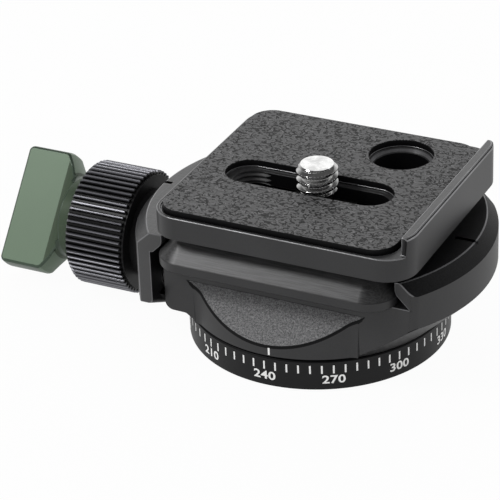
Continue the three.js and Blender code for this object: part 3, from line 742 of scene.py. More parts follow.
@dataclass(frozen=True)
class Finish:
    """A finish of the real part; the classes below add what varies over it."""

    name: str
    colour: Colour
    roughness: float
    metallic: float = 0.0
    specular: float = 0.5
    grain: float = 0.2
    grain_depth: float = 0.004
    mottle: float = 0.15

    def shades(self, dark: float, light: float) -> tuple[Colour, Colour]:
        """The colour darkened and lightened by two shares."""
        return tuple(v * dark for v in self.colour), tuple(min(1.0, v * light) for v in self.colour)

    def bump(self, sheet: Sheet, height: Signal, strength: float = 1.0) -> Signal:
        """A normal that follows a height of 0 to 1, as deep as the grain."""
        inputs = {"Strength": strength, "Distance": self.grain_depth / MM_PER_METRE, "Height": height}
        return sheet.add("ShaderNodeBump", {}, inputs)

    def varied(
        self,
        sheet: Sheet,
        colour: Signal,
        wear: Signal,
        height: Signal,
        swing: float = 0.2,
        strength: float = 1.0,
    ) -> dict[str, Signal]:
        """Signals for Base Color, Roughness and Normal; the roughness swings with the wear."""
        rough = self.roughness * ((1 - swing / 2) + swing * wear)
        return {"Base Color": colour, "Roughness": rough, "Normal": self.bump(sheet, height, strength)}

    def shade(self, sheet: Sheet) -> dict[str, Signal]:
        """What varies over the surface.

        Args:
            sheet: Sheet of the material.

        Returns:
            Signals for Base Color, Roughness and Normal.
        """
        place = sheet.place_mm()
        fine = sheet.noise(place, self.grain, 3.0, 0.6)
        broad = sheet.noise(place, 9.0, 2.0)
        mask = (fine * 0.5 + broad * 0.5).spread(0.3, 0.7)
        colour = sheet.mix(mask, *self.shades(1 - self.mottle, 1 + self.mottle))
        return self.varied(sheet, colour, fine, fine, strength=0.6)

    def material(self) -> Look:
        """Builds the material."""
        made = bpy.data.materials.new(self.name)
        made.use_nodes = True
        sheet = Sheet(made.node_tree)
        fixed = {"Metallic": self.metallic, "Specular IOR Level": self.specular}
        shader = sheet.node("ShaderNodeBsdfPrincipled", {}, fixed | self.shade(sheet))
        sheet.node("ShaderNodeOutputMaterial", {}, {"Surface": shader.outputs[0]})
        return made


@dataclass(frozen=True)
class Blasted(Finish):
    """Anodising over a blasted surface: coarse sparkle and a dry sheen."""

    dark: float = 0.45
    light: float = 2.0

    def shade(self, sheet: Sheet) -> dict[str, Signal]:
        """Coarser grain than the plain finish, with the same words."""
        place = sheet.place_mm()
        fine = sheet.noise(place, self.grain, 2.0, 0.7)
        coarse = sheet.noise(place, self.grain * 2.2, 2.0, 0.6)
        height = fine * 0.6 + coarse * 0.4
        colour = sheet.mix(height.spread(0.38, 0.66), *self.shades(self.dark, self.light))
        return self.varied(sheet, colour, coarse, height, 0.3)


@dataclass(frozen=True)
class Machined(Finish):
    """Fine marks of the milling tool that run along each wall."""

    def shade(self, sheet: Sheet) -> dict[str, Signal]:
        """Streaks along the wall, with the same words."""
        facing = sheet.add("ShaderNodeTexCoord", output="Normal")
        split = sheet.node("ShaderNodeSeparateXYZ", {}, {0: facing})
        ahead, aside = (abs(Signal(sheet, split.outputs[i])) for i in (1, 0))
        along_x = sheet.noise(sheet.place_mm((0.07, 1.6, 1.6)), self.grain, 2.0, 0.6)
        along_y = sheet.noise(sheet.place_mm((1.6, 0.07, 1.6)), self.grain, 2.0, 0.6)
        share = (ahead - aside).spread(-0.1, 0.1)
        streaks = along_x * share + along_y * (1.0 - share)
        fine = sheet.noise(sheet.place_mm(), 0.12, 2.0, 0.6)
        height = streaks * 0.7 + fine * 0.3
        colour = sheet.mix(height.spread(0.36, 0.64), *self.shades(1 - self.mottle, 1 + self.mottle))
        return self.varied(sheet, colour, streaks, height, 0.4)


@dataclass(frozen=True)
class Turned(Finish):
    """Bright turned metal: fine rings of the tool round one axis and a few smudges."""

    def shade(self, sheet: Sheet) -> dict[str, Signal]:
        """Fine lines across the axis, with the same words."""
        lines = sheet.noise(sheet.place_mm((0.25, 0.25, 6.0)), self.grain, 2.0, 0.6)
        smudge = sheet.noise(sheet.place_mm(), 1.4, 3.0, 0.55)
        colour = sheet.mix(smudge.spread(0.3, 0.7), *self.shades(0.75, 1.1))
        return self.varied(sheet, colour, smudge, lines * 0.6 + smudge * 0.4, 0.6, 0.5)


@dataclass(frozen=True)
class Ribbed(Finish):
    """Anodised ribs round the knob axis: their crests lighter, partly wear and partly a painted highlight,
    and painted shade black in the grooves between.
    """

    root: float = 9.3
    crest: float = 9.76
    crest_wear_and_highlight: float = 8.0

    def shade(self, sheet: Sheet) -> dict[str, Signal]:
        """Lightens with the distance from the knob axis, with the same words."""
        place = sheet.place_mm()
        split = sheet.node("ShaderNodeSeparateXYZ", {}, {0: place})
        y, z = Signal(sheet, split.outputs[1]), Signal(sheet, split.outputs[2]) - KNOB_AXIS_Z - FOOT
        radius = (y * y + z * z).math("SQRT")
        fine = sheet.noise(place, self.grain, 3.0, 0.6)
        height = radius.spread(self.root, self.crest) * (0.8 + 0.4 * fine)
        # Painted shade in the grooves and, with the wear, a painted highlight on the crests.
        colour = sheet.mix(height, *self.shades(0.15, self.crest_wear_and_highlight))
        return self.varied(sheet, colour, fine, fine, strength=0.6)


@dataclass(frozen=True)
class LeatherRubber(Finish):
    """Moulded rubber with a leather grain: short creases that bend, break off and cross, with painted shade
    in them and a painted highlight on one side.
    """

    crease: float = 1.0
    crease_width: float = 0.075
    dark: float = 0.14
    light: float = 2.6

    def creases(self, sheet: Sheet, place: Signal, shift: Colour) -> tuple[Signal, Signal]:
        """One set of creases.

        Args:
            sheet: Sheet of the material.
            place: Where it is read, in millimetres.
            shift: Moves it against the other sets.

        Returns:
            Its dark lines, painted shade, and the light rims beside them, a painted highlight.
        """
        moved = sheet.add("ShaderNodeVectorMath", {"operation": "ADD"}, {0: place, 1: shift})
        line = sheet.noise(moved, self.crease, 1.0, 0.35) - 0.5
        gate = sheet.noise(moved, self.crease * 0.62, 0.0).spread(0.46, 0.53)
        width = self.crease_width
        dark = abs(line).spread(width * 0.35, width, 1.0, 0.0) * gate
        rim = abs(line + width * 1.25).spread(width * 0.2, width * 0.8, 1.0, 0.0) * gate
        return dark, rim

    def shade(self, sheet: Sheet) -> dict[str, Signal]:
        """Creases with painted shade and a painted highlight rim, pebbles between them and a fine tooth,
        with the same words.
        """
        place = sheet.place_mm((1.0, 1.25, 1.0))
        first, first_rim = self.creases(sheet, place, (0.0, 0.0, 0.0))
        second, second_rim = self.creases(sheet, place, (17.3, 5.1, 9.7))
        dark = first | second
        rim = (first_rim | second_rim) * (1.0 - dark)
        tooth = sheet.noise(place, self.grain, 2.0, 0.65)
        pebble = sheet.noise(place, 0.6, 2.0, 0.5)
        height = 0.55 + pebble * 0.25 + tooth * 0.1 + rim * 0.25 - dark * 0.6
        # Painted shade in the creases and a painted highlight on their rims.
        body = (0.42 + 0.16 * pebble + 0.16 * tooth + 0.3 * rim) * (1.0 - dark)
        colour = sheet.mix(body, *self.shades(self.dark, self.light))
        return self.varied(sheet, colour, tooth, height)


class Finishes:
    """All the finishes of the part, each built once."""

    def __init__(self) -> None:
        """Builds them."""
        # A near-black colour for painted shade and a painted shadow.
        dark = (0.004, 0.004, 0.0045)
        self.black = Finish("black_satin", (0.022, 0.022, 0.023), 0.4, 0, 0.36, 0.16).material()
        self.body = Finish("black_matt", (0.027, 0.027, 0.028), 0.48, 0, 0.36, 0.2, 0.006).material()
        # A darker black as painted shade: the base disc, the body's downward faces and the ring's face
        # toward the jaw.
        self.base = Finish("black_base_painted_shade", (0.007, 0.007, 0.0075), 0.42, 0, 0.2, 0.2).material()
        self.jaw = Finish("black_jaw", (0.042, 0.042, 0.043), 0.5, 0, 0.5, 0.2).material()
        # A lighter milled finish that is in part a painted sheen where light falls, on the flange's top and
        # the slot's ledge.
        grey = (0.05, 0.05, 0.051)
        self.machined = Machined("black_machined_and_sheen", grey, 0.36, 0.45, 0.6, 0.3, 0.012, 0.35).material()
        self.blasted = Blasted("black_blasted", (0.13, 0.13, 0.133), 0.6, 0, 0.4, 0.12, 0.045).material()
        # The plate's painted shadow on the fixed jaw's top and chamfer: near-black with a blasted grain.
        self.ridge = Blasted("black_ridge_painted_shadow", dark, 0.5, 0, 0.14, 0.15, 0.02).material()
        self.ribs = Ribbed("black_ribs", (0.02, 0.02, 0.022), 0.32, 0.7, 0.6, 0.2).material()
        # Lighter metal on the rounded edges: partly wear, partly a painted highlight.
        self.edge = Finish("rubbed_edge_and_highlight", (0.19, 0.19, 0.195), 0.3, 0.6, 0.6, 0.2, mottle=0.3).material()
        self.edge_dim = Finish("worn_edge_and_highlight", (0.13, 0.13, 0.135), 0.3, 0.5, 0.6, 0.2, mottle=0.3).material()
        # Painted shade: near-black in bores, grooves, gaps between parts, under the deck and on faces
        # beside or under other parts.
        self.deep = Finish("black_painted_shade", dark, 0.5, 0, 0.12).material()
        self.green = Finish("sage_green", (0.09, 0.141, 0.087), 0.4, 0.2, 0.5, 0.14, mottle=0.05).material()
        # Darker greens as painted shade: on the blade's ends and rounded edges, and in the hollows by the
        # neck.
        self.green_shaded_edge = Finish("sage_edge_painted_shade", (0.04, 0.065, 0.042), 0.36, 0.3, 0.5, 0.2).material()
        self.green_painted_shade = Finish("sage_painted_shade", (0.05, 0.075, 0.045), 0.5, 0.1, 0.25, 0.14).material()
        rubber = (0.058, 0.058, 0.059)
        self.rubber = LeatherRubber("leather_rubber", rubber, 0.62, 0, 0.35, 0.13, 0.09).material()
        self.chrome = Turned("turned_bright", (0.56, 0.56, 0.555), 0.13, 1.0, grain=0.3).material()
        self.steel = Turned("turned_steel", (0.55, 0.55, 0.56), 0.3, 1.0, grain=0.3).material()
        self.brass = Turned("turned_brass", (0.62, 0.46, 0.2), 0.3, 1.0, grain=0.3).material()
        self.nylon = Finish("black_nylon", (0.012, 0.012, 0.012), 0.5, 0, 0.2, 0.4).material()
        self.paint = Finish("white_paint", (0.95, 0.95, 0.94), 0.5, 0, 0.5, 0.1, 0.006, 0.05).material()


# Sub-assemblies


@dataclass
class PanBase:
    """The base disc with its degree scale."""

    radius: float = 19.975
    height: float = 4.95
    underside: float = -0.14
    top_break: float = 0.2
    foot_break: float = 0.7
    floor: float = 2.6
    bush: float = 6.55
    flange: float = 12.05
    tick_low: float = 2.92
    tick_high: float = 4.28
    tick_half: float = 0.13
    step: int = 5
    number_step: int = 30
    number_low: float = 1.22
    number_height: float = 1.4
    number_width: float = 1.22
    number_weight: float = 0.022
    number_spacing: float = 1.04
    turn: float = 30.3
    lift: float = 0.02
    softness: float = 0.05
    screws: int = 3
    screw_circle: float = 9.3
    screw_head: float = 2.15
    screw_hole: float = 1.05
    screw_start: float = -0.04

    def make(self, finishes: Finishes) -> None:
        """Builds the disc and its scale."""
        profile = [
            (self.bush, self.underside),
            (self.radius - self.foot_break, self.underside),
            (self.radius, self.underside + self.foot_break / 2),
            (self.radius, self.height - self.top_break),
            (self.radius - self.top_break, self.height),
            (self.flange, self.height),
            (self.flange, self.floor),
            (self.bush, self.floor),
        ]
        disc = Solid.turned(profile, 256).dressed(finishes.base)
        hole = self.screw_hole
        cone_end = self.screw_start + self.screw_head - hole
        tool = [(0, -FAR), (self.screw_head, -FAR), (self.screw_head, self.screw_start)]
        tool += [(hole, cone_end), (hole, FAR), (0, FAR)]
        # The screw holes take painted shade.
        for i in range(self.screws):
            angle = math.radians(90 + 360 * i / self.screws)
            centre = (self.screw_circle * math.cos(angle), self.screw_circle * math.sin(angle))
            disc = disc - Solid.turned(tool, 48, centre=centre).dressed(finishes.deep)
        seam = self.height - self.top_break - HAIR
        # Painted shade on the disc's top, under the body.
        disc = disc.painted(finishes.deep, lambda centre, normal: centre.z > seam and normal.z > 0.3)
        disc.softened(self.softness).piece("base_disc_fine", "base", "black_anodised", "base_disc")
        self.scale(finishes)

    def wrapped(self, outline: Sequence[Point], angle: float) -> list[Corner]:
        """Wraps flat points round the disc.

        Args:
            outline: Points of width to the right and height.
            angle: Angle of their middle, in degrees.

        Returns:
            Their places on the rim.
        """
        radius = self.radius + self.lift
        places = []
        for u, v in outline:
            turn = math.radians(angle) + u / radius
            places.append((radius * math.cos(turn), radius * math.sin(turn), v))
        return places

    def digits(self, text: str) -> tuple[list[Point], list[tuple[int, ...]]]:
        """Outlines of a plain number.

        Args:
            text: The number.

        Returns:
            Points about the middle of its foot, and its faces.
        """
        curve = bpy.data.curves.new("number", "FONT")
        curve.body = text
        curve.align_x = "CENTER"
        curve.space_character = self.number_spacing
        curve.offset = self.number_weight
        mesh = evaluated(linked("number", curve))
        places = [corner.co for corner in mesh.vertices]
        low, high = (pick(place.y for place in places) for pick in (min, max))
        size = self.number_height / (high - low)
        wide = size * self.number_width
        points = [(place.x * wide, (place.y - low) * size + self.number_low) for place in places]
        return points, [tuple(face.vertices) for face in mesh.polygons]

    def scale(self, finishes: Finishes) -> None:
        """Builds the ticks and numbers as thin paint on the rim."""
        places: list[Corner] = []
        faces: list[tuple[int, ...]] = []
        tick = rectangle(-self.tick_half, self.tick_half, self.tick_low, self.tick_high)
        for value in range(0, 360, self.step):
            angle = value + self.turn - 360
            start = len(places)
            places += self.wrapped(tick, angle)
            faces.append(tuple(range(start, start + 4)))
            if value % self.number_step == 0:
                points, number_faces = self.digits(str(value))
                start = len(places)
                places += self.wrapped(points, angle)
                faces += [tuple(start + i for i in face) for face in number_faces]
        marks = Solid.paint_marks(places, faces).dressed(finishes.paint)
        marks.piece("scale_marks", "base", "black_anodised")


@dataclass
class ClampBody:
    """The turning body with its bed, its fixed jaw and the scooped notches."""

    low: float = 5.2
    base_radius: float = 20.0
    disc_radius: float = 27.0
    flat: float = 15.65
    corner: float = 1.8
    wall_low: float = 12.0
    wall_high: float = 17.3
    ridge: float = 25.3
    top: float = 19.3
    bed: float = 15.15
    end: float = 18.3
    toe: float = 6.7
    toe_inner: float = 11.0
    toe_round: float = 1.4
    strip: float = 12.35
    blend: float = 2.6
    nose: float = 19.1
    nose_height: float = 17.4
    scoop_half: float = 15.3
    scoop_corner: float = 3.2
    scoop_lip: float = 6.8
    scoop_reach: float = 14.0
    edge: float = 0.13
    under_round: float = 1.6
    notch_edge: float = 0.26
    spindle_bore: float = 8.15
    retainer_bore: float = 11.2
    retainer_floor: float = 12.4
    glide_inner: float = 12.85
    glide_outer: float = 18.15
    glide_top: float = 5.75
    stud_bore: float = 3.45
    stud_end: float = -13.35
    rod_bore: float = 1.9
    pin_bore: float = 1.65
    pin_end: float = -9.15
    spring_bore: float = 2.65
    spring_end: float = -13.15
    mark_start: float = 22.3
    mark_end: float = 26.2
    edge_highlight_start: float = 12.65
    index_lift: float = 0.012
    index_x: float = 0.95
    index_half: float = 0.15
    index_low: float = 5.45
    index_high: float = 6.65

    def scoop(self) -> Solid:
        """The cutter of the notch: a round-cornered channel with its floor at 45 degrees."""
        slope = math.sqrt(0.5)
        half, corner = self.scoop_half, self.scoop_corner
        outline = (
            arc(half - corner, corner, corner, 270, 360, 16)
            + [(half, self.scoop_reach), (-half, self.scoop_reach)]
            + arc(-half + corner, corner, corner, 180, 270, 16)
        )
        across = (0, -slope, -slope, -self.base_radius)
        turn = Matrix(((1, 0, 0, 0), across, (0, slope, -slope, self.scoop_lip), (0, 0, 0, 1)))
        channel = Solid.prism(outline, -self.scoop_reach, self.scoop_reach).placed(turn)
        under = Solid.box((-FAR, -FAR, 0), (FAR, 0, self.strip))
        before = Solid.box((-FAR, -FAR, 0), (FAR, -self.flat - MARGIN, FAR))
        return channel & (under + before)

    def make(self, finishes: Finishes) -> None:
        """Builds the body."""
        profile = [(0, self.low), (self.base_radius, self.low), (self.disc_radius, self.wall_low)]
        profile += [(self.disc_radius, self.wall_high), (self.ridge, self.top), (0, self.top)]
        plan = flatted_disc(self.disc_radius, self.flat, self.corner)
        body = Solid.prism(plan, self.low - 1, self.top + 1) & Solid.turned(profile, 256)

        def underside_edge(edge: Edge) -> bool:
            """Whether an edge runs where a flat meets the cone below."""
            one, two = (end.co for end in edge.verts)
            flat = all(abs(abs(end.y) - self.flat) < ROUNDING for end in (one, two))
            return flat and max(one.z, two.z) < self.wall_low - SLIVER and one.z != two.z

        body = body.eased(self.under_round, 5, underside_edge).dressed(finishes.body)
        foot = Solid.rod(self.base_radius, self.low, self.strip, 256).dressed(finishes.body)
        corner = self.toe_round
        toe = [(-self.toe_inner, self.toe), (-self.toe_inner, self.bed), (-self.end, self.bed)]
        toe += arc(-self.end + corner, self.toe + corner, corner, 180, 270)
        block = Solid.prism(toe, -self.flat, self.flat, Along.Y).dressed(finishes.body)
        body = body + foot + block
        meet = self.base_radius + self.blend
        blend_y = self.flat + self.blend
        blend_x = math.sqrt(meet**2 - blend_y**2)
        inner = self.base_radius / meet
        for side in (-1, 1):
            for end in (-1, 1):
                x, y, flat = end * blend_x, side * blend_y, side * self.flat
                wedge = [(x * inner * inner, flat * inner), (x, flat), (x, y), (x * inner, y * inner)]
                fill = Solid.prism(wedge, self.low, self.strip)
                fill = fill - Solid.rod(self.blend, 0, FAR, 96, centre=(x, y))
                body = body + fill.dressed(finishes.body)
        bed = [(-FAR, self.bed), *nose_outline(self.nose, self.nose_height, self.bed, 1), (-FAR, FAR)]
        body = body - Solid.prism(bed, -FAR, FAR, Along.Y).dressed(finishes.body)
        body = body - Solid.box((-FAR, -FAR, 0), (-self.end, FAR, FAR)).dressed(finishes.body)
        scoop = self.scoop().dressed(finishes.blasted)
        body = body - scoop
        body = body - scoop.placed(Matrix.Rotation(math.pi, 4, "Z"))
        # The bores, the groove and the jaw's mark take painted shade.
        body = body - Solid.rod(self.spindle_bore, 0, FAR).dressed(finishes.deep)
        body = body - Solid.rod(self.retainer_bore, self.retainer_floor, FAR).dressed(finishes.deep)
        groove = rectangle(self.glide_inner, self.glide_outer, 0, self.glide_top)
        body = body - Solid.turned(groove).dressed(finishes.deep)
        body = body.bored(self.stud_bore, self.stud_end, finishes.deep)
        body = body.bored(self.rod_bore, 0, finishes.deep)
        for radius, end in ((self.pin_bore, self.pin_end), (self.spring_bore, self.spring_end)):
            for y in (PIN_Y, -PIN_Y):
                body = body.bored(radius, end, finishes.deep, y)
        body = body.marked(self.mark_start, self.mark_end, self.top, finishes.deep)
        names = {finishes.blasted.name, finishes.body.name}
        slots = [slot.name for slot in body.mesh.materials]

        def scoop_edge(edge: Edge) -> bool:
            """Whether an edge bounds the notch on the round foot."""
            sides = {slots[face.material_index] for face in edge.link_faces}
            return sides == names and max(end.co.z for end in edge.verts) < self.strip - MARGIN

        # A thin band of painted shade along the notch's edge on the foot.
        body = body.cleaned().eased(self.notch_edge, 1, scoop_edge, finishes.deep, clamped=False)
        ridge_low = self.wall_high + MARGIN

        def on_ridge(centre: Vector, normal: Vector) -> bool:
            """Whether a face belongs to the jaw's chamfer or its top."""
            return centre.x > self.nose and centre.z > ridge_low and normal.z > 0.5

        # The plate's painted shadow on the fixed jaw's chamfer and top.
        body = body.painted(finishes.ridge, on_ridge)
        low, highlight_low = self.low, self.edge_highlight_start
        # Painted shade on the faces that look down and on the underside.
        body = body.painted(finishes.base, lambda centre, normal: normal.z < -0.25 and centre.z > low + 0.1)
        body = body.painted(finishes.deep, lambda centre, normal: centre.z < low + HAIR)
        # Edge highlights, partly wear, on the rounded edges; those below the highlight start take painted
        # shade.
        body = body.softened(self.edge, angle=46, finish=finishes.edge_dim)
        body = body.painted(finishes.deep, lambda centre, normal: centre.z < highlight_low, finishes.edge_dim)
        body.piece("clamp_body_fine", "clamp", "black_anodised", "clamp_body")
        self.index(finishes)

    def index(self, finishes: Finishes) -> None:
        """The white line that the scale is read at."""
        radius = self.base_radius + self.index_lift
        left, right = self.index_x - self.index_half, self.index_x + self.index_half
        corners = rectangle(left, right, self.index_low, self.index_high)
        places = [(x, -math.sqrt(radius**2 - x**2), z) for x, z in corners]
        line = Solid.paint_marks(places, [(0, 1, 2, 3)]).dressed(finishes.paint)
        line.piece("index_line", "clamp", "black_anodised")


@dataclass
class MovingJaw:
    """The jaw on the knob side."""

    disc_radius: float = 27.0
    ridge: float = 25.3
    opening: float = 0.5
    top: float = 19.1
    flat: float = 15.65
    leg: float = 20.4
    notch: float = 15.95
    leg_low: float = 7.0
    leg_round: float = 1.1
    nose: float = 18.3
    nose_height: float = 17.6
    apron_low: float = 3.9
    apron_half: float = 9.5
    seat: float = 26.45
    edge: float = 0.13
    chamfer_slope: float = 2.0 / 1.7
    body_gap: float = 21.1
    body_gap_top: float = 6.85
    seat_radius: float = 7.0
    stud_bore: float = 3.55
    pin_bore: float = 1.75
    pin_start: float = -24.0
    mark_start: float = -26.1
    mark_end: float = -24.7

    def make(self, finishes: Finishes) -> None:
        """Builds the jaw."""
        fall = self.chamfer_slope * (self.disc_radius - self.ridge)
        wide = self.disc_radius
        profile = [(0, 0), (wide, 0), (wide, self.top - fall), (self.ridge, self.top), (0, self.top)]
        disc = Solid.turned(profile, 256, centre=(-self.opening, 0)).dressed(finishes.jaw)
        section = [(-FAR, FAR), (-FAR, 1), (-self.leg, 1), (-self.leg, self.notch)]
        section += nose_outline(self.nose, self.nose_height, self.notch, -1)
        flat, low = self.flat, self.leg_low
        foot, foot_low = flat - self.leg_round, low - self.leg_round / 2
        side = [(flat, low), (flat, FAR), (-flat, FAR), (-flat, low), (-foot, foot_low)]
        side += [(-self.apron_half, self.apron_low), (self.apron_half, self.apron_low), (foot, foot_low)]
        jaw = disc & Solid.prism(section, -FAR, FAR, Along.Y).dressed(finishes.jaw)
        jaw = jaw & Solid.prism(side, -FAR, 0, Along.X).dressed(finishes.jaw)

        def foot_edge(edge: Edge) -> bool:
            """Whether an edge runs along the foot of a leg."""
            one, two = (end.co for end in edge.verts)
            across = abs(one.y - two.y) > 1.5 * abs(one.x - two.x)
            return across and max(one.z, two.z) < self.leg_low + MARGIN

        # Painted shade on the leg's inner wall, and the bores below take it too.
        jaw = jaw.painted(finishes.deep, lambda centre, normal: normal.x > 0.9 and centre.z < self.notch)
        jaw = jaw - Solid.rod(self.body_gap, -FAR, self.body_gap_top, 192).dressed(finishes.jaw)
        jaw = jaw.bored(self.seat_radius, -self.seat, finishes.deep, sides=96)
        jaw = jaw.bored(self.stud_bore, 0, finishes.deep, sides=64)
        for y in (-PIN_Y, PIN_Y):
            jaw = jaw.bored(self.pin_bore, 0, finishes.deep, y, start=self.pin_start)
        jaw = jaw.marked(self.mark_start, self.mark_end, self.top, finishes.deep)
        top_low = self.nose_height
        jaw = jaw.painted(finishes.machined, lambda centre, normal: normal.z > 0.3 and centre.z > top_low)
        jaw = jaw.cleaned().eased(self.leg_round * 0.7, 4, foot_edge, clamped=False)
        # Edge highlights, partly wear, on the rounded edges.
        jaw = jaw.softened(self.edge, angle=40, finish=finishes.edge_dim)
        jaw.piece("moving_jaw_fine", "jaw", "black_anodised", "moving_jaw")


@dataclass
class ClampRing:
    """The ribbed ring that draws the moving jaw in."""

    count: int = 60
    crest: float = 9.78
    root: float = 9.12
    rib_start: float = -29.3
    rib_end: float = -38.9
    edge_break: float = 0.45
    step: float = 9.05
    face: float = -28.95
    hub: float = 6.9
    hub_start: float = -27.5
    bore: float = 3.55
    nut: float = 6.05
    nut_end: float = -28.4
    pocket: float = 6.9
    pocket_end: float = -36.0
    rib_steps: int = 12
    rib_flat: float = 0.22
    rib_flank: float = 0.46
    inner_break: float = 0.13
    inner_step: float = 0.08

    def outline(self) -> list[Point]:
        """The ribs seen along the axis: round crests with narrow grooves between them."""
        points = []
        steps = self.rib_steps
        for i in range(self.count * steps):
            phase = (i % steps) / steps
            wave = abs(2 * phase - 1)
            depth = min(1.0, max(0.0, (wave - self.rib_flat) / self.rib_flank))
            radius = self.crest - (self.crest - self.root) * depth * depth * (3 - 2 * depth)
            turn = 2 * math.pi * i / (self.count * steps)
            points.append((radius * math.cos(turn), KNOB_AXIS_Z + radius * math.sin(turn)))
        return points

    def make(self, finishes: Finishes) -> None:
        """Builds the ring."""
        centre = (0.0, KNOB_AXIS_Z)
        high = self.crest + MARGIN
        trim = [
            (0, self.rib_end),
            (self.crest - self.edge_break, self.rib_end),
            (high, self.rib_end + self.edge_break + MARGIN),
            (high, self.rib_start - self.inner_step),
            (high - self.inner_break, self.rib_start),
            (0, self.rib_start),
        ]
        ribs = Solid.prism(self.outline(), self.rib_end, self.rib_start, Along.X).dressed(finishes.ribs)
        ring = ribs & Solid.turned(trim, 192, Along.X, centre).dressed(finishes.ribs)
        inside = self.rib_start - 1
        hub = [(0, inside), (self.step, inside), (self.step, self.face)]
        hub += [(self.hub, self.face), (self.hub, self.hub_start), (0, self.hub_start)]
        # The face toward the jaw takes the darker black as painted shade; the bores take painted shade.
        ring = ring + Solid.turned(hub, 192, Along.X, centre).dressed(finishes.base)
        for radius, end in ((self.bore, 0), (self.nut, self.nut_end), (self.pocket, self.pocket_end)):
            ring = ring.bored(radius, end, finishes.deep, sides=96)
        ring.piece("clamp_ring_fine", "ring", "black_anodised", "clamp_ring")


@dataclass
class WingLock:
    """The wing knob of the pan lock."""

    start: float = 39.6
    end: float = 52.2
    radius: float = 9.75
    neck: float = 6.2
    neck_end: float = 42.3
    cone_start: float = 43.0
    cone: float = 6.9
    shoulder: float = 44.8
    half: float = 2.45
    scoop_start: float = 44.6
    scoop: float = 2.4
    edge_break: float = 0.5
    turn: float = 39.4
    softness: float = 0.34
    rod_bore: float = 1.75
    rod_start: float = 46.95
    pin_bore: float = 1.05
    pin_x: float = 41.2
    shade_radius: float = 6.6

    def make(self, finishes: Finishes) -> None:
        """Builds the wing."""
        profile = [
            (0, -self.end),
            (self.radius - self.edge_break, -self.end),
            (self.radius, -self.end + self.edge_break),
            (self.radius, -self.shoulder - self.edge_break),
            (self.radius - self.edge_break / 2, -self.shoulder),
            (self.cone, -self.cone_start),
            (self.neck, -self.neck_end),
            (self.neck, -self.start),
            (0, -self.start),
        ]
        blank = Solid.turned(profile, 128, Along.X).dressed(finishes.green)
        inner = -self.scoop_start + self.scoop
        slab = (
            [(-self.end - 1, self.half), (-self.end - 1, -self.half)]
            + arc(-self.scoop_start, -self.half - self.scoop, self.scoop, 90, 0)
            + [(inner, -FAR), (0, -FAR), (0, FAR), (inner, FAR)]
            + arc(-self.scoop_start, self.half + self.scoop, self.scoop, 0, -90)
        )
        wing = blank & Solid.prism(slab, -FAR, FAR).dressed(finishes.green)
        wing = wing - Solid.rod(self.rod_bore, -self.rod_start, 0, 48, Along.X).dressed(finishes.green)
        pin = Solid.rod(self.pin_bore, -FAR, FAR, 48, centre=(-self.pin_x, 0))
        # The pin hole takes painted shade.
        wing = wing - pin.dressed(finishes.deep)

        def in_shadow(centre: Vector, normal: Vector) -> bool:
            """Whether a face belongs to the neck or the hollows beside the blade."""
            near = math.hypot(centre.y, centre.z) < self.shade_radius
            return near and centre.x > MARGIN - self.scoop_start

        def on_end(centre: Vector, normal: Vector) -> bool:
            """Whether a face belongs to the blade's ends."""
            return abs(normal.z) > 0.9 and centre.x < -self.shoulder

        # Painted shade in the hollows by the neck, on the blade's ends and on its rounded edges.
        wing = wing.painted(finishes.green_painted_shade, in_shadow).painted(finishes.green_shaded_edge, on_end)
        wing = wing.softened(self.softness, 3, finish=finishes.green_shaded_edge)
        place = Matrix.Translation((0, 0, KNOB_AXIS_Z)) @ Matrix.Rotation(math.radians(-self.turn), 4, "X")
        wing.placed(place).piece("wing_knob_fine", "wing", "green_anodised", "wing_knob")


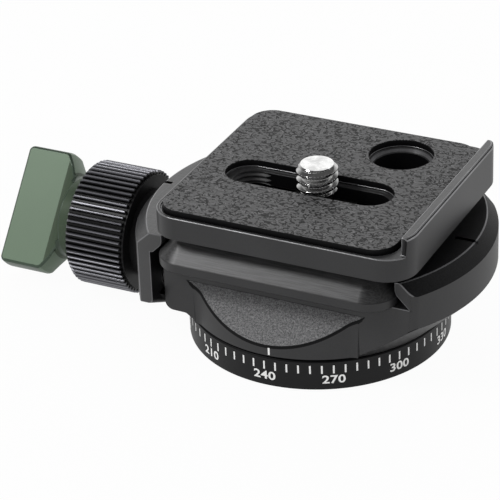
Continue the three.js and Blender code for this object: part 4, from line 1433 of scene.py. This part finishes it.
@dataclass
class QuickPlate:
    """The quick release plate with its rubber pad."""

    shift: float = 0.15
    half: float = 18.95
    corner: float = 4.4
    deck_corner: float = 4.8
    low: float = 15.2
    lip: float = 1.5
    bevel: float = 2.9
    lip_break: float = 0.12
    bevel_break: float = 0.08
    bevel_inset: float = 0.1
    neck_step: float = 0.12
    deck_bottom: float = 20.8
    deck_top: float = 24.45
    deck_edge: float = 22.2
    rim: float = 0.6
    pad_gap: float = 0.35
    pad_floor: float = 24.2
    pad_top: float = 25.2
    pad_right: float = 19.2
    flange_inner: float = 20.6
    flange_top: float = 27.3
    flange_half: float = 16.6
    flange_break: float = 0.3
    slot_y: float = -2.4
    slot_half: float = 3.65
    slot_left: float = -13.6
    slot_right: float = 13.25
    slot_step: float = 23.8
    neck_half: float = 2.95
    entry_x: float = -9.45
    entry_radius: float = 3.05
    channel_half: float = 6.3
    channel_top: float = 21.6
    hole_x: float = 8.95
    hole_y: float = 11.0
    hole_radius: float = 4.92
    hole_step: float = 0.65
    cone_start: float = 23.4
    cone_end: float = 23.85
    thread_pitch: float = 0.8
    thread_depth: float = 0.32
    softness: float = 0.14
    highlight_depth: float = 0.3

    def lower(self) -> Solid:
        """The dovetail: lip, bevel and neck."""
        lip_top = self.low + self.lip
        bevel_high = lip_top + self.bevel
        neck = self.bevel + self.neck_step
        levels = [
            (self.lip_break, self.low),
            (0.0, self.low + self.lip_break),
            (0.0, lip_top - self.bevel_break),
            (self.bevel_inset, lip_top + MARGIN),
            (self.bevel, bevel_high),
            (neck, bevel_high),
            (neck, self.deck_bottom + 1),
        ]
        return Solid.stacked([[(x, y, z) for x, y in self.outline(inset)] for inset, z in levels])

    def outline(self, inset: float) -> list[Point]:
        """The outline of the dovetail, moved inward."""
        left, right = self.shift - self.half + inset, self.shift + self.half - inset
        return rounded_box(left, right, -self.half + inset, self.half - inset, self.corner - inset)

    def make(self, finishes: Finishes) -> None:
        """Builds the plate and its pad."""
        left = self.shift - self.half
        outline = rounded_box(left, self.deck_edge, -self.half, self.half, self.corner, self.deck_corner)
        deck = Solid.prism(outline, self.deck_bottom, self.deck_top)
        foot, inner = self.deck_bottom + 1, self.flange_inner
        flange = Solid.prism(outline, foot, self.flange_top)
        side = Solid.prism(rectangle(inner, FAR, foot, FAR), -self.flange_half, self.flange_half, Along.Y)
        flange = (flange & side).dressed(finishes.black)

        def outer_top(edge: Edge) -> bool:
            """Whether an edge runs along the outer side of the flange's top."""
            ends = [end.co for end in edge.verts]
            return all(end.z > self.flange_top - HAIR and end.x > inner + 0.1 for end in ends)

        # A thin band of painted shade along the flange's outer top edge, and a painted sheen on its top.
        flange = flange.eased(self.flange_break, 1, outer_top, finishes.deep)
        flange = flange.painted(finishes.machined, lambda centre, normal: normal.z > 0.9)
        plate = deck.dressed(finishes.black) + flange
        rim, right = self.rim, self.pad_right + self.pad_gap
        recess = rounded_box(left + rim, right, -self.half + rim, self.half - rim, self.corner - rim)
        # The recess round the pad takes painted shade.
        plate = plate - Solid.prism(recess, self.pad_floor, self.deck_top + 1).dressed(finishes.deep)
        bevel_low, bevel_high = self.low + self.lip, self.low + self.lip + self.bevel

        def on_bevel(centre: Vector, normal: Vector) -> bool:
            """Whether a face belongs to the dovetail's bevel."""
            return bevel_low < centre.z < bevel_high and 0.3 < normal.z < 0.95

        plate = plate + self.lower().dressed(finishes.black).painted(finishes.machined, on_bevel)

        def in_shadow(centre: Vector, normal: Vector) -> bool:
            """Whether a face lies in the groove under the deck."""
            inside = bevel_high - SLIVER < centre.z < self.deck_bottom + SLIVER
            return inside and (normal.z < -0.5 or abs(normal.z) < 0.3)

        # Painted shade in the groove under the deck.
        plate = plate.painted(finishes.deep, in_shadow)
        neck_right = self.slot_right - self.slot_half + self.neck_half
        low = slot_outline(self.entry_x - self.neck_half, neck_right, self.slot_y, self.neck_half)
        high = slot_outline(self.slot_left, self.slot_right, self.slot_y, self.slot_half)
        wide = self.channel_half - self.slot_half
        ends = self.slot_left - wide, self.slot_right + wide
        channel = slot_outline(*ends, self.slot_y, self.channel_half)
        # The slot, channel and hole take painted shade; the ledge's floor takes the lighter machined
        # finish, and the walls at the slot's left end take it as a painted highlight.
        plate = plate - Solid.prism(low, 0, FAR).dressed(finishes.deep)
        ledge = Solid.prism(high, self.slot_step, FAR).dressed(finishes.deep)
        ledge = ledge.painted(finishes.machined, lambda centre, normal: abs(normal.z) > 0.9)
        entry = self.entry_x - 0.5
        plate = plate - ledge.painted(finishes.machined, lambda centre, normal: centre.x < entry)
        plate = plate - Solid.prism(channel, 0, self.channel_top).dressed(finishes.deep)
        step, radius = self.hole_radius - self.hole_step, self.hole_radius
        hole = [(0, 0), (step, 0), (step, self.cone_start), (radius, self.cone_end)]
        hole += [(radius, FAR), (0, FAR)]
        tool = Solid.turned(hole, 128, centre=(self.hole_x, self.hole_y)).dressed(finishes.deep)
        # A painted highlight, partly wear, on the hole's countersink.
        plate = plate - tool.painted(finishes.edge_dim, lambda centre, normal: 0.2 < abs(normal.z) < 0.9)
        # Edge highlights, partly wear, on the rounded edges near the deck's top; the lower edges go back to
        # plain black.
        plate = plate.softened(self.softness, 3, angle=40, finish=finishes.edge)
        rim_low = self.deck_top - self.highlight_depth
        plate = plate.painted(finishes.black, lambda centre, normal: centre.z < rim_low, finishes.edge)
        plate = plate - self.thread_tool().dressed(finishes.jaw)
        plate.piece("plate_deck_fine", "plate", "black_anodised", "plate_deck")
        self.pad(finishes, high)

    def thread_tool(self) -> Solid:
        """The cutter of the entry hole: a stack of thread grooves."""
        root, depth = self.entry_radius, self.thread_depth
        profile = [(0.0, 0.0), (root, 0.0)]
        level = self.channel_top - 1.0
        while level < self.slot_step:
            profile += [(root, level), (root + depth, level + depth), (root, level + 2 * depth)]
            level += self.thread_pitch
        profile += [(root, FAR), (0.0, FAR)]
        return Solid.turned(profile, 96, centre=(self.entry_x, self.slot_y))

    def pad(self, finishes: Finishes, slot: Sequence[Point]) -> None:
        """Builds the rubber pad.

        Args:
            finishes: All the finishes.
            slot: Outline of the slot.
        """
        inset = self.rim + self.pad_gap
        left = self.shift - self.half + inset
        half = self.half - inset
        outline = rounded_box(left, self.pad_right, -half, half, self.corner - inset)
        pad = Solid.prism(outline, self.pad_floor, self.pad_top).dressed(finishes.rubber)
        pad = pad - Solid.prism(slot, 0, FAR)
        pad = pad - Solid.rod(self.hole_radius, 0, FAR, 128, centre=(self.hole_x, self.hole_y))
        # Painted shade on the pad's side walls.
        pad = pad.painted(finishes.deep, lambda centre, normal: abs(normal.z) < 0.1)
        pad.softened(self.softness, 3).piece("rubber_pad_fine", "plate", "pad_rubber", "rubber_pad")


@dataclass
class CameraScrew:
    """The camera screw with its cut thread."""

    x: float = 1.2
    y: float = -2.4
    crest: float = 3.1
    root: float = 2.5
    neck: float = 2.4
    pitch: float = 1.27
    start: float = 24.0
    top: float = 28.6
    chamfer: float = 0.62
    head: float = 5.6
    head_low: float = 16.2
    head_top: float = 19.6
    root_share: float = 0.12
    flank_share: float = 0.66
    run_in: float = 1.2
    driver_half: float = 0.7
    driver_reach: float = 6.0
    driver_depth: float = 1.6
    sides: int = 120
    rows: int = 132

    def radius_at(self, z: float, turn: float) -> float:
        """Radius of the thread.

        Args:
            z: Height.
            turn: Angle as a share of a full turn.

        Returns:
            The radius there.
        """
        ridge = thread_ridge(z, turn, self.pitch, self.root_share, self.flank_share)
        radius = self.root + (self.crest - self.root) * ridge
        limit = self.crest - max(0.0, z - (self.top - self.chamfer))
        return min(radius, limit, self.neck + max(0.0, z - self.start) * self.run_in)

    def make(self, finishes: Finishes) -> None:
        """Builds the screw."""
        table: list[tuple[float | None, float]] = [(0.0, self.head_low), (self.head, self.head_low)]
        table += [(self.head, self.head_top), (self.neck, self.head_top)]
        height = self.top - self.start
        table += [(None, self.start + height * i / self.rows) for i in range(self.rows + 1)]
        table.append((0.0, self.top))
        screw = Solid.threaded(table, self.sides, self.radius_at, (self.x, self.y)).dressed(finishes.chrome)
        half, reach = self.driver_half, self.driver_reach
        low, high = (self.x - half, self.y - reach, 0), (self.x + half, self.y + reach)
        slot = Solid.box(low, (*high, self.head_low + self.driver_depth))
        screw = screw - slot.dressed(finishes.chrome)
        screw.piece("camera_screw_fine", "screw", "steel", "camera_screw")


@dataclass
class TripodBush:
    """The bush with the cut thread of its 3/8 inch socket."""

    radius: float = 6.5
    root: float = 4.8
    crest: float = 4.05
    pitch: float = 1.5875
    low: float = -0.04
    high: float = 8.21
    chamfer: float = 0.55
    root_share: float = 0.12
    flank_share: float = 0.7
    mouth: float = 0.1
    run_in: float = 1.2
    sides: int = 96
    rows: int = 84

    def radius_at(self, z: float, turn: float) -> float:
        """Radius of the thread.

        Args:
            z: Height.
            turn: Angle as a share of a full turn.

        Returns:
            The radius there.
        """
        ridge = thread_ridge(z, turn, self.pitch, self.root_share, self.flank_share)
        end = min(z - self.low, self.high - z)
        return max(self.root - (self.root - self.crest) * ridge, self.root + self.mouth - end * self.run_in)

    def make(self, finishes: Finishes) -> None:
        """Builds the bush."""
        table: list[tuple[float | None, float]] = [
            (self.radius - self.chamfer, self.low),
            (self.radius, self.low + self.chamfer / 2),
            (self.radius, self.high),
        ]
        fall = self.low - self.high
        table += [(None, self.high + fall * i / self.rows) for i in range(self.rows + 1)]
        bush = Solid.threaded(table, self.sides, self.radius_at).dressed(finishes.steel)
        bush.piece("tripod_bush_fine", "base", "steel", "tripod_bush")


@dataclass
class JawSprings:
    """The coil springs that push the moving jaw open."""

    radius: float = 2.225
    wire: float = 0.27
    start: float = -19.7
    end: float = -13.2
    turns: int = 8
    steps: int = 40
    sides: int = 10
    closed_gap: float = 2.04

    def coil(self, y: float) -> Solid:
        """One spring, its last turn at each end closed.

        Args:
            y: Where its axis stands.

        Returns:
            The coiled wire.
        """
        closed = self.closed_gap * self.wire
        length = self.end - self.start - 2 * self.wire
        pitch = (length - 2 * closed) / (self.turns - 2)
        rings: list[list[Corner]] = []
        for i in range(self.turns * self.steps + 1):
            turn = i / self.steps
            open_turns = min(max(turn - 1.0, 0.0), self.turns - 2.0)
            along = self.start + self.wire + closed * (turn - open_turns) + pitch * open_turns
            c, s = math.cos(2 * math.pi * turn), math.sin(2 * math.pi * turn)
            ring: list[Corner] = []
            for k in range(self.sides):
                angle = 2 * math.pi * k / self.sides
                out = self.radius + self.wire * math.cos(angle)
                ring.append((along + self.wire * math.sin(angle), y + out * c, KNOB_AXIS_Z + out * s))
            rings.append(ring)
        return Solid.stacked(rings)

    def make(self, finishes: Finishes) -> None:
        """Builds both springs."""
        for side, word in ((-1, "front"), (1, "back")):
            coil = self.coil(side * PIN_Y).dressed(finishes.steel)
            coil.piece(f"jaw_spring_{word}_fine", "clamp", "steel", f"jaw_spring_{word}")


class HiddenParts:
    """Finishes of the CAD nodes that stay."""

    def make(self, finishes: Finishes) -> None:
        """Gives each node its finish."""
        by_slot = {
            "steel": finishes.steel,
            "brass": finishes.brass,
            "nylon": finishes.nylon,
            "black_anodised": finishes.black,
            "green_anodised": finishes.green,
            "pad_rubber": finishes.rubber,
        }
        for entry in frame["record"]["subparts"]:
            node = frame["nodes"][entry["node"]]
            for slot in node.material_slots:
                slot.material = by_slot[entry["material_slot"]]


# Studio


@dataclass(frozen=True)
class Lamp:
    """A soft rectangular lamp that looks at the part."""

    name: str
    place: Corner
    width: float
    height: float
    power: float
    target: Corner = (0.0, 0.0, 0.015)

    def make(self) -> None:
        """Builds the lamp."""
        data = bpy.data.lights.new(self.name, "AREA")
        data.shape = "RECTANGLE"
        data.size, data.size_y = self.width, self.height
        data.energy = self.power
        lamp = linked(self.name, data)
        lamp.location = self.place
        lamp.rotation_euler = (Vector(self.target) - Vector(self.place)).to_track_quat("-Z", "Y").to_euler()


@dataclass
class Studio:
    """Camera, floor, lamps and backdrop."""

    eye: Corner = (0.156488, -0.304840, 0.199518)
    azimuth: float = 27.03
    elevation: float = 28.95
    roll: float = -2.312
    lens: float = 183.77
    world: float = 0.75
    ceiling: float = 0.12
    white: float = 0.96
    mirrored: float = 0.7
    floor_size: float = 3.0
    floor_colour: Colour = (0.7, 0.7, 0.7)
    horizon: float = 0.12
    zenith: float = 0.62
    lamps: list[Lamp] = field(
        default_factory=lambda: [
            Lamp("front_lamp", (-0.29, -0.27, 0.42), 0.16, 0.16, 1.0),
            Lamp("rear_lamp", (-0.22, 0.44, 0.27), 0.5, 0.3, 0.6),
            Lamp("right_lamp", (0.5, 0.22, 0.22), 0.2, 0.2, 0.22),
        ]
    )

    def camera(self) -> None:
        """Sets the camera of the photograph."""
        az, el, roll = (math.radians(v) for v in (self.azimuth, self.elevation, self.roll))
        back = Vector((math.sin(az) * math.cos(el), -math.cos(az) * math.cos(el), math.sin(el)))
        right = Vector((math.cos(az), math.sin(az), 0.0))
        up = back.cross(right)
        side = right * math.cos(roll) + up * math.sin(roll)
        head = up * math.cos(roll) - right * math.sin(roll)
        data = bpy.data.cameras.new("camera")
        data.sensor_width = 36.0
        data.lens = self.lens
        data.clip_start = 0.01
        made = linked("camera", data)
        turn = Matrix((side, head, back)).transposed().to_4x4()
        made.matrix_world = Matrix.Translation(self.eye) @ turn
        bpy.context.scene.camera = made

    @staticmethod
    def seen(sheet: Sheet, *kinds: str) -> Signal:
        """One for rays of the named kinds, zero for the rest.

        Args:
            sheet: Sheet of the material or world.
            *kinds: Outputs of the light path.

        Returns:
            The signal.
        """
        path = sheet.node("ShaderNodeLightPath")
        first, *others = (Signal(sheet, path.outputs[kind]) for kind in kinds)
        for other in others:
            first = first | other
        return first

    def floor(self) -> None:
        """A plain pale floor that shows nearly white and keeps a soft shadow."""
        form = bmesh.new()
        bmesh.ops.create_grid(form, x_segments=4, y_segments=4, size=self.floor_size)
        mesh = bpy.data.meshes.new("floor")
        form.to_mesh(mesh)
        form.free()
        floor = linked("floor", mesh)
        made = bpy.data.materials.new("pale_floor")
        made.use_nodes = True
        sheet = Sheet(made.node_tree)
        matt = sheet.node("ShaderNodeBsdfDiffuse", {}, {"Color": (*self.floor_colour, 1.0)})
        white = sheet.node("ShaderNodeEmission", {}, {"Color": WHITE, "Strength": 1.0})
        share = self.seen(sheet, "Is Camera Ray") * self.white
        share = share | (self.seen(sheet, "Is Glossy Ray", "Is Transmission Ray") * self.mirrored)
        both = sheet.node("ShaderNodeMixShader", {}, {0: share, 1: matt.outputs[0], 2: white.outputs[0]})
        sheet.node("ShaderNodeOutputMaterial", {}, {"Surface": both.outputs[0]})
        mesh.materials.append(made)

    def backdrop(self) -> None:
        """A white world with plain soft light, mirrored darker towards the ceiling."""
        world = bpy.data.worlds.new("backdrop")
        bpy.context.scene.world = world
        world.use_nodes = True
        sheet = Sheet(world.node_tree)
        direction = sheet.add("ShaderNodeTexCoord", output="Generated")
        height = Signal(sheet, sheet.node("ShaderNodeSeparateXYZ", {}, {0: direction}).outputs[2])
        mirrored = height.spread(self.horizon, self.zenith, 1.0, self.ceiling)
        shown = self.seen(sheet, "Is Glossy Ray", "Is Transmission Ray")
        strength = shown * mirrored + (1.0 - shown) * self.world
        strength = strength | self.seen(sheet, "Is Camera Ray")
        light = sheet.node("ShaderNodeBackground", {}, {"Color": WHITE, "Strength": strength})
        sheet.node("ShaderNodeOutputWorld", {}, {"Surface": light.outputs[0]})

    def make(self) -> None:
        """Builds the studio."""
        self.camera()
        self.floor()
        self.backdrop()
        for lamp in self.lamps:
            lamp.make()
        bpy.context.scene.view_settings.view_transform = "Standard"


def main() -> None:
    """Builds the scene in order and notes its size."""
    logging.basicConfig(level=logging.INFO, format="%(name)s: %(message)s")
    Studio().make()
    finishes = Finishes()
    HiddenParts().make(finishes)
    parts = (
        PanBase(),
        TripodBush(),
        ClampBody(),
        MovingJaw(),
        JawSprings(),
        ClampRing(),
        WingLock(),
        QuickPlate(),
        CameraScrew(),
    )
    for part in parts:
        part.make(finishes)
        log.info("%s done", type(part).__name__)


if __name__ == "__main__":
    main()
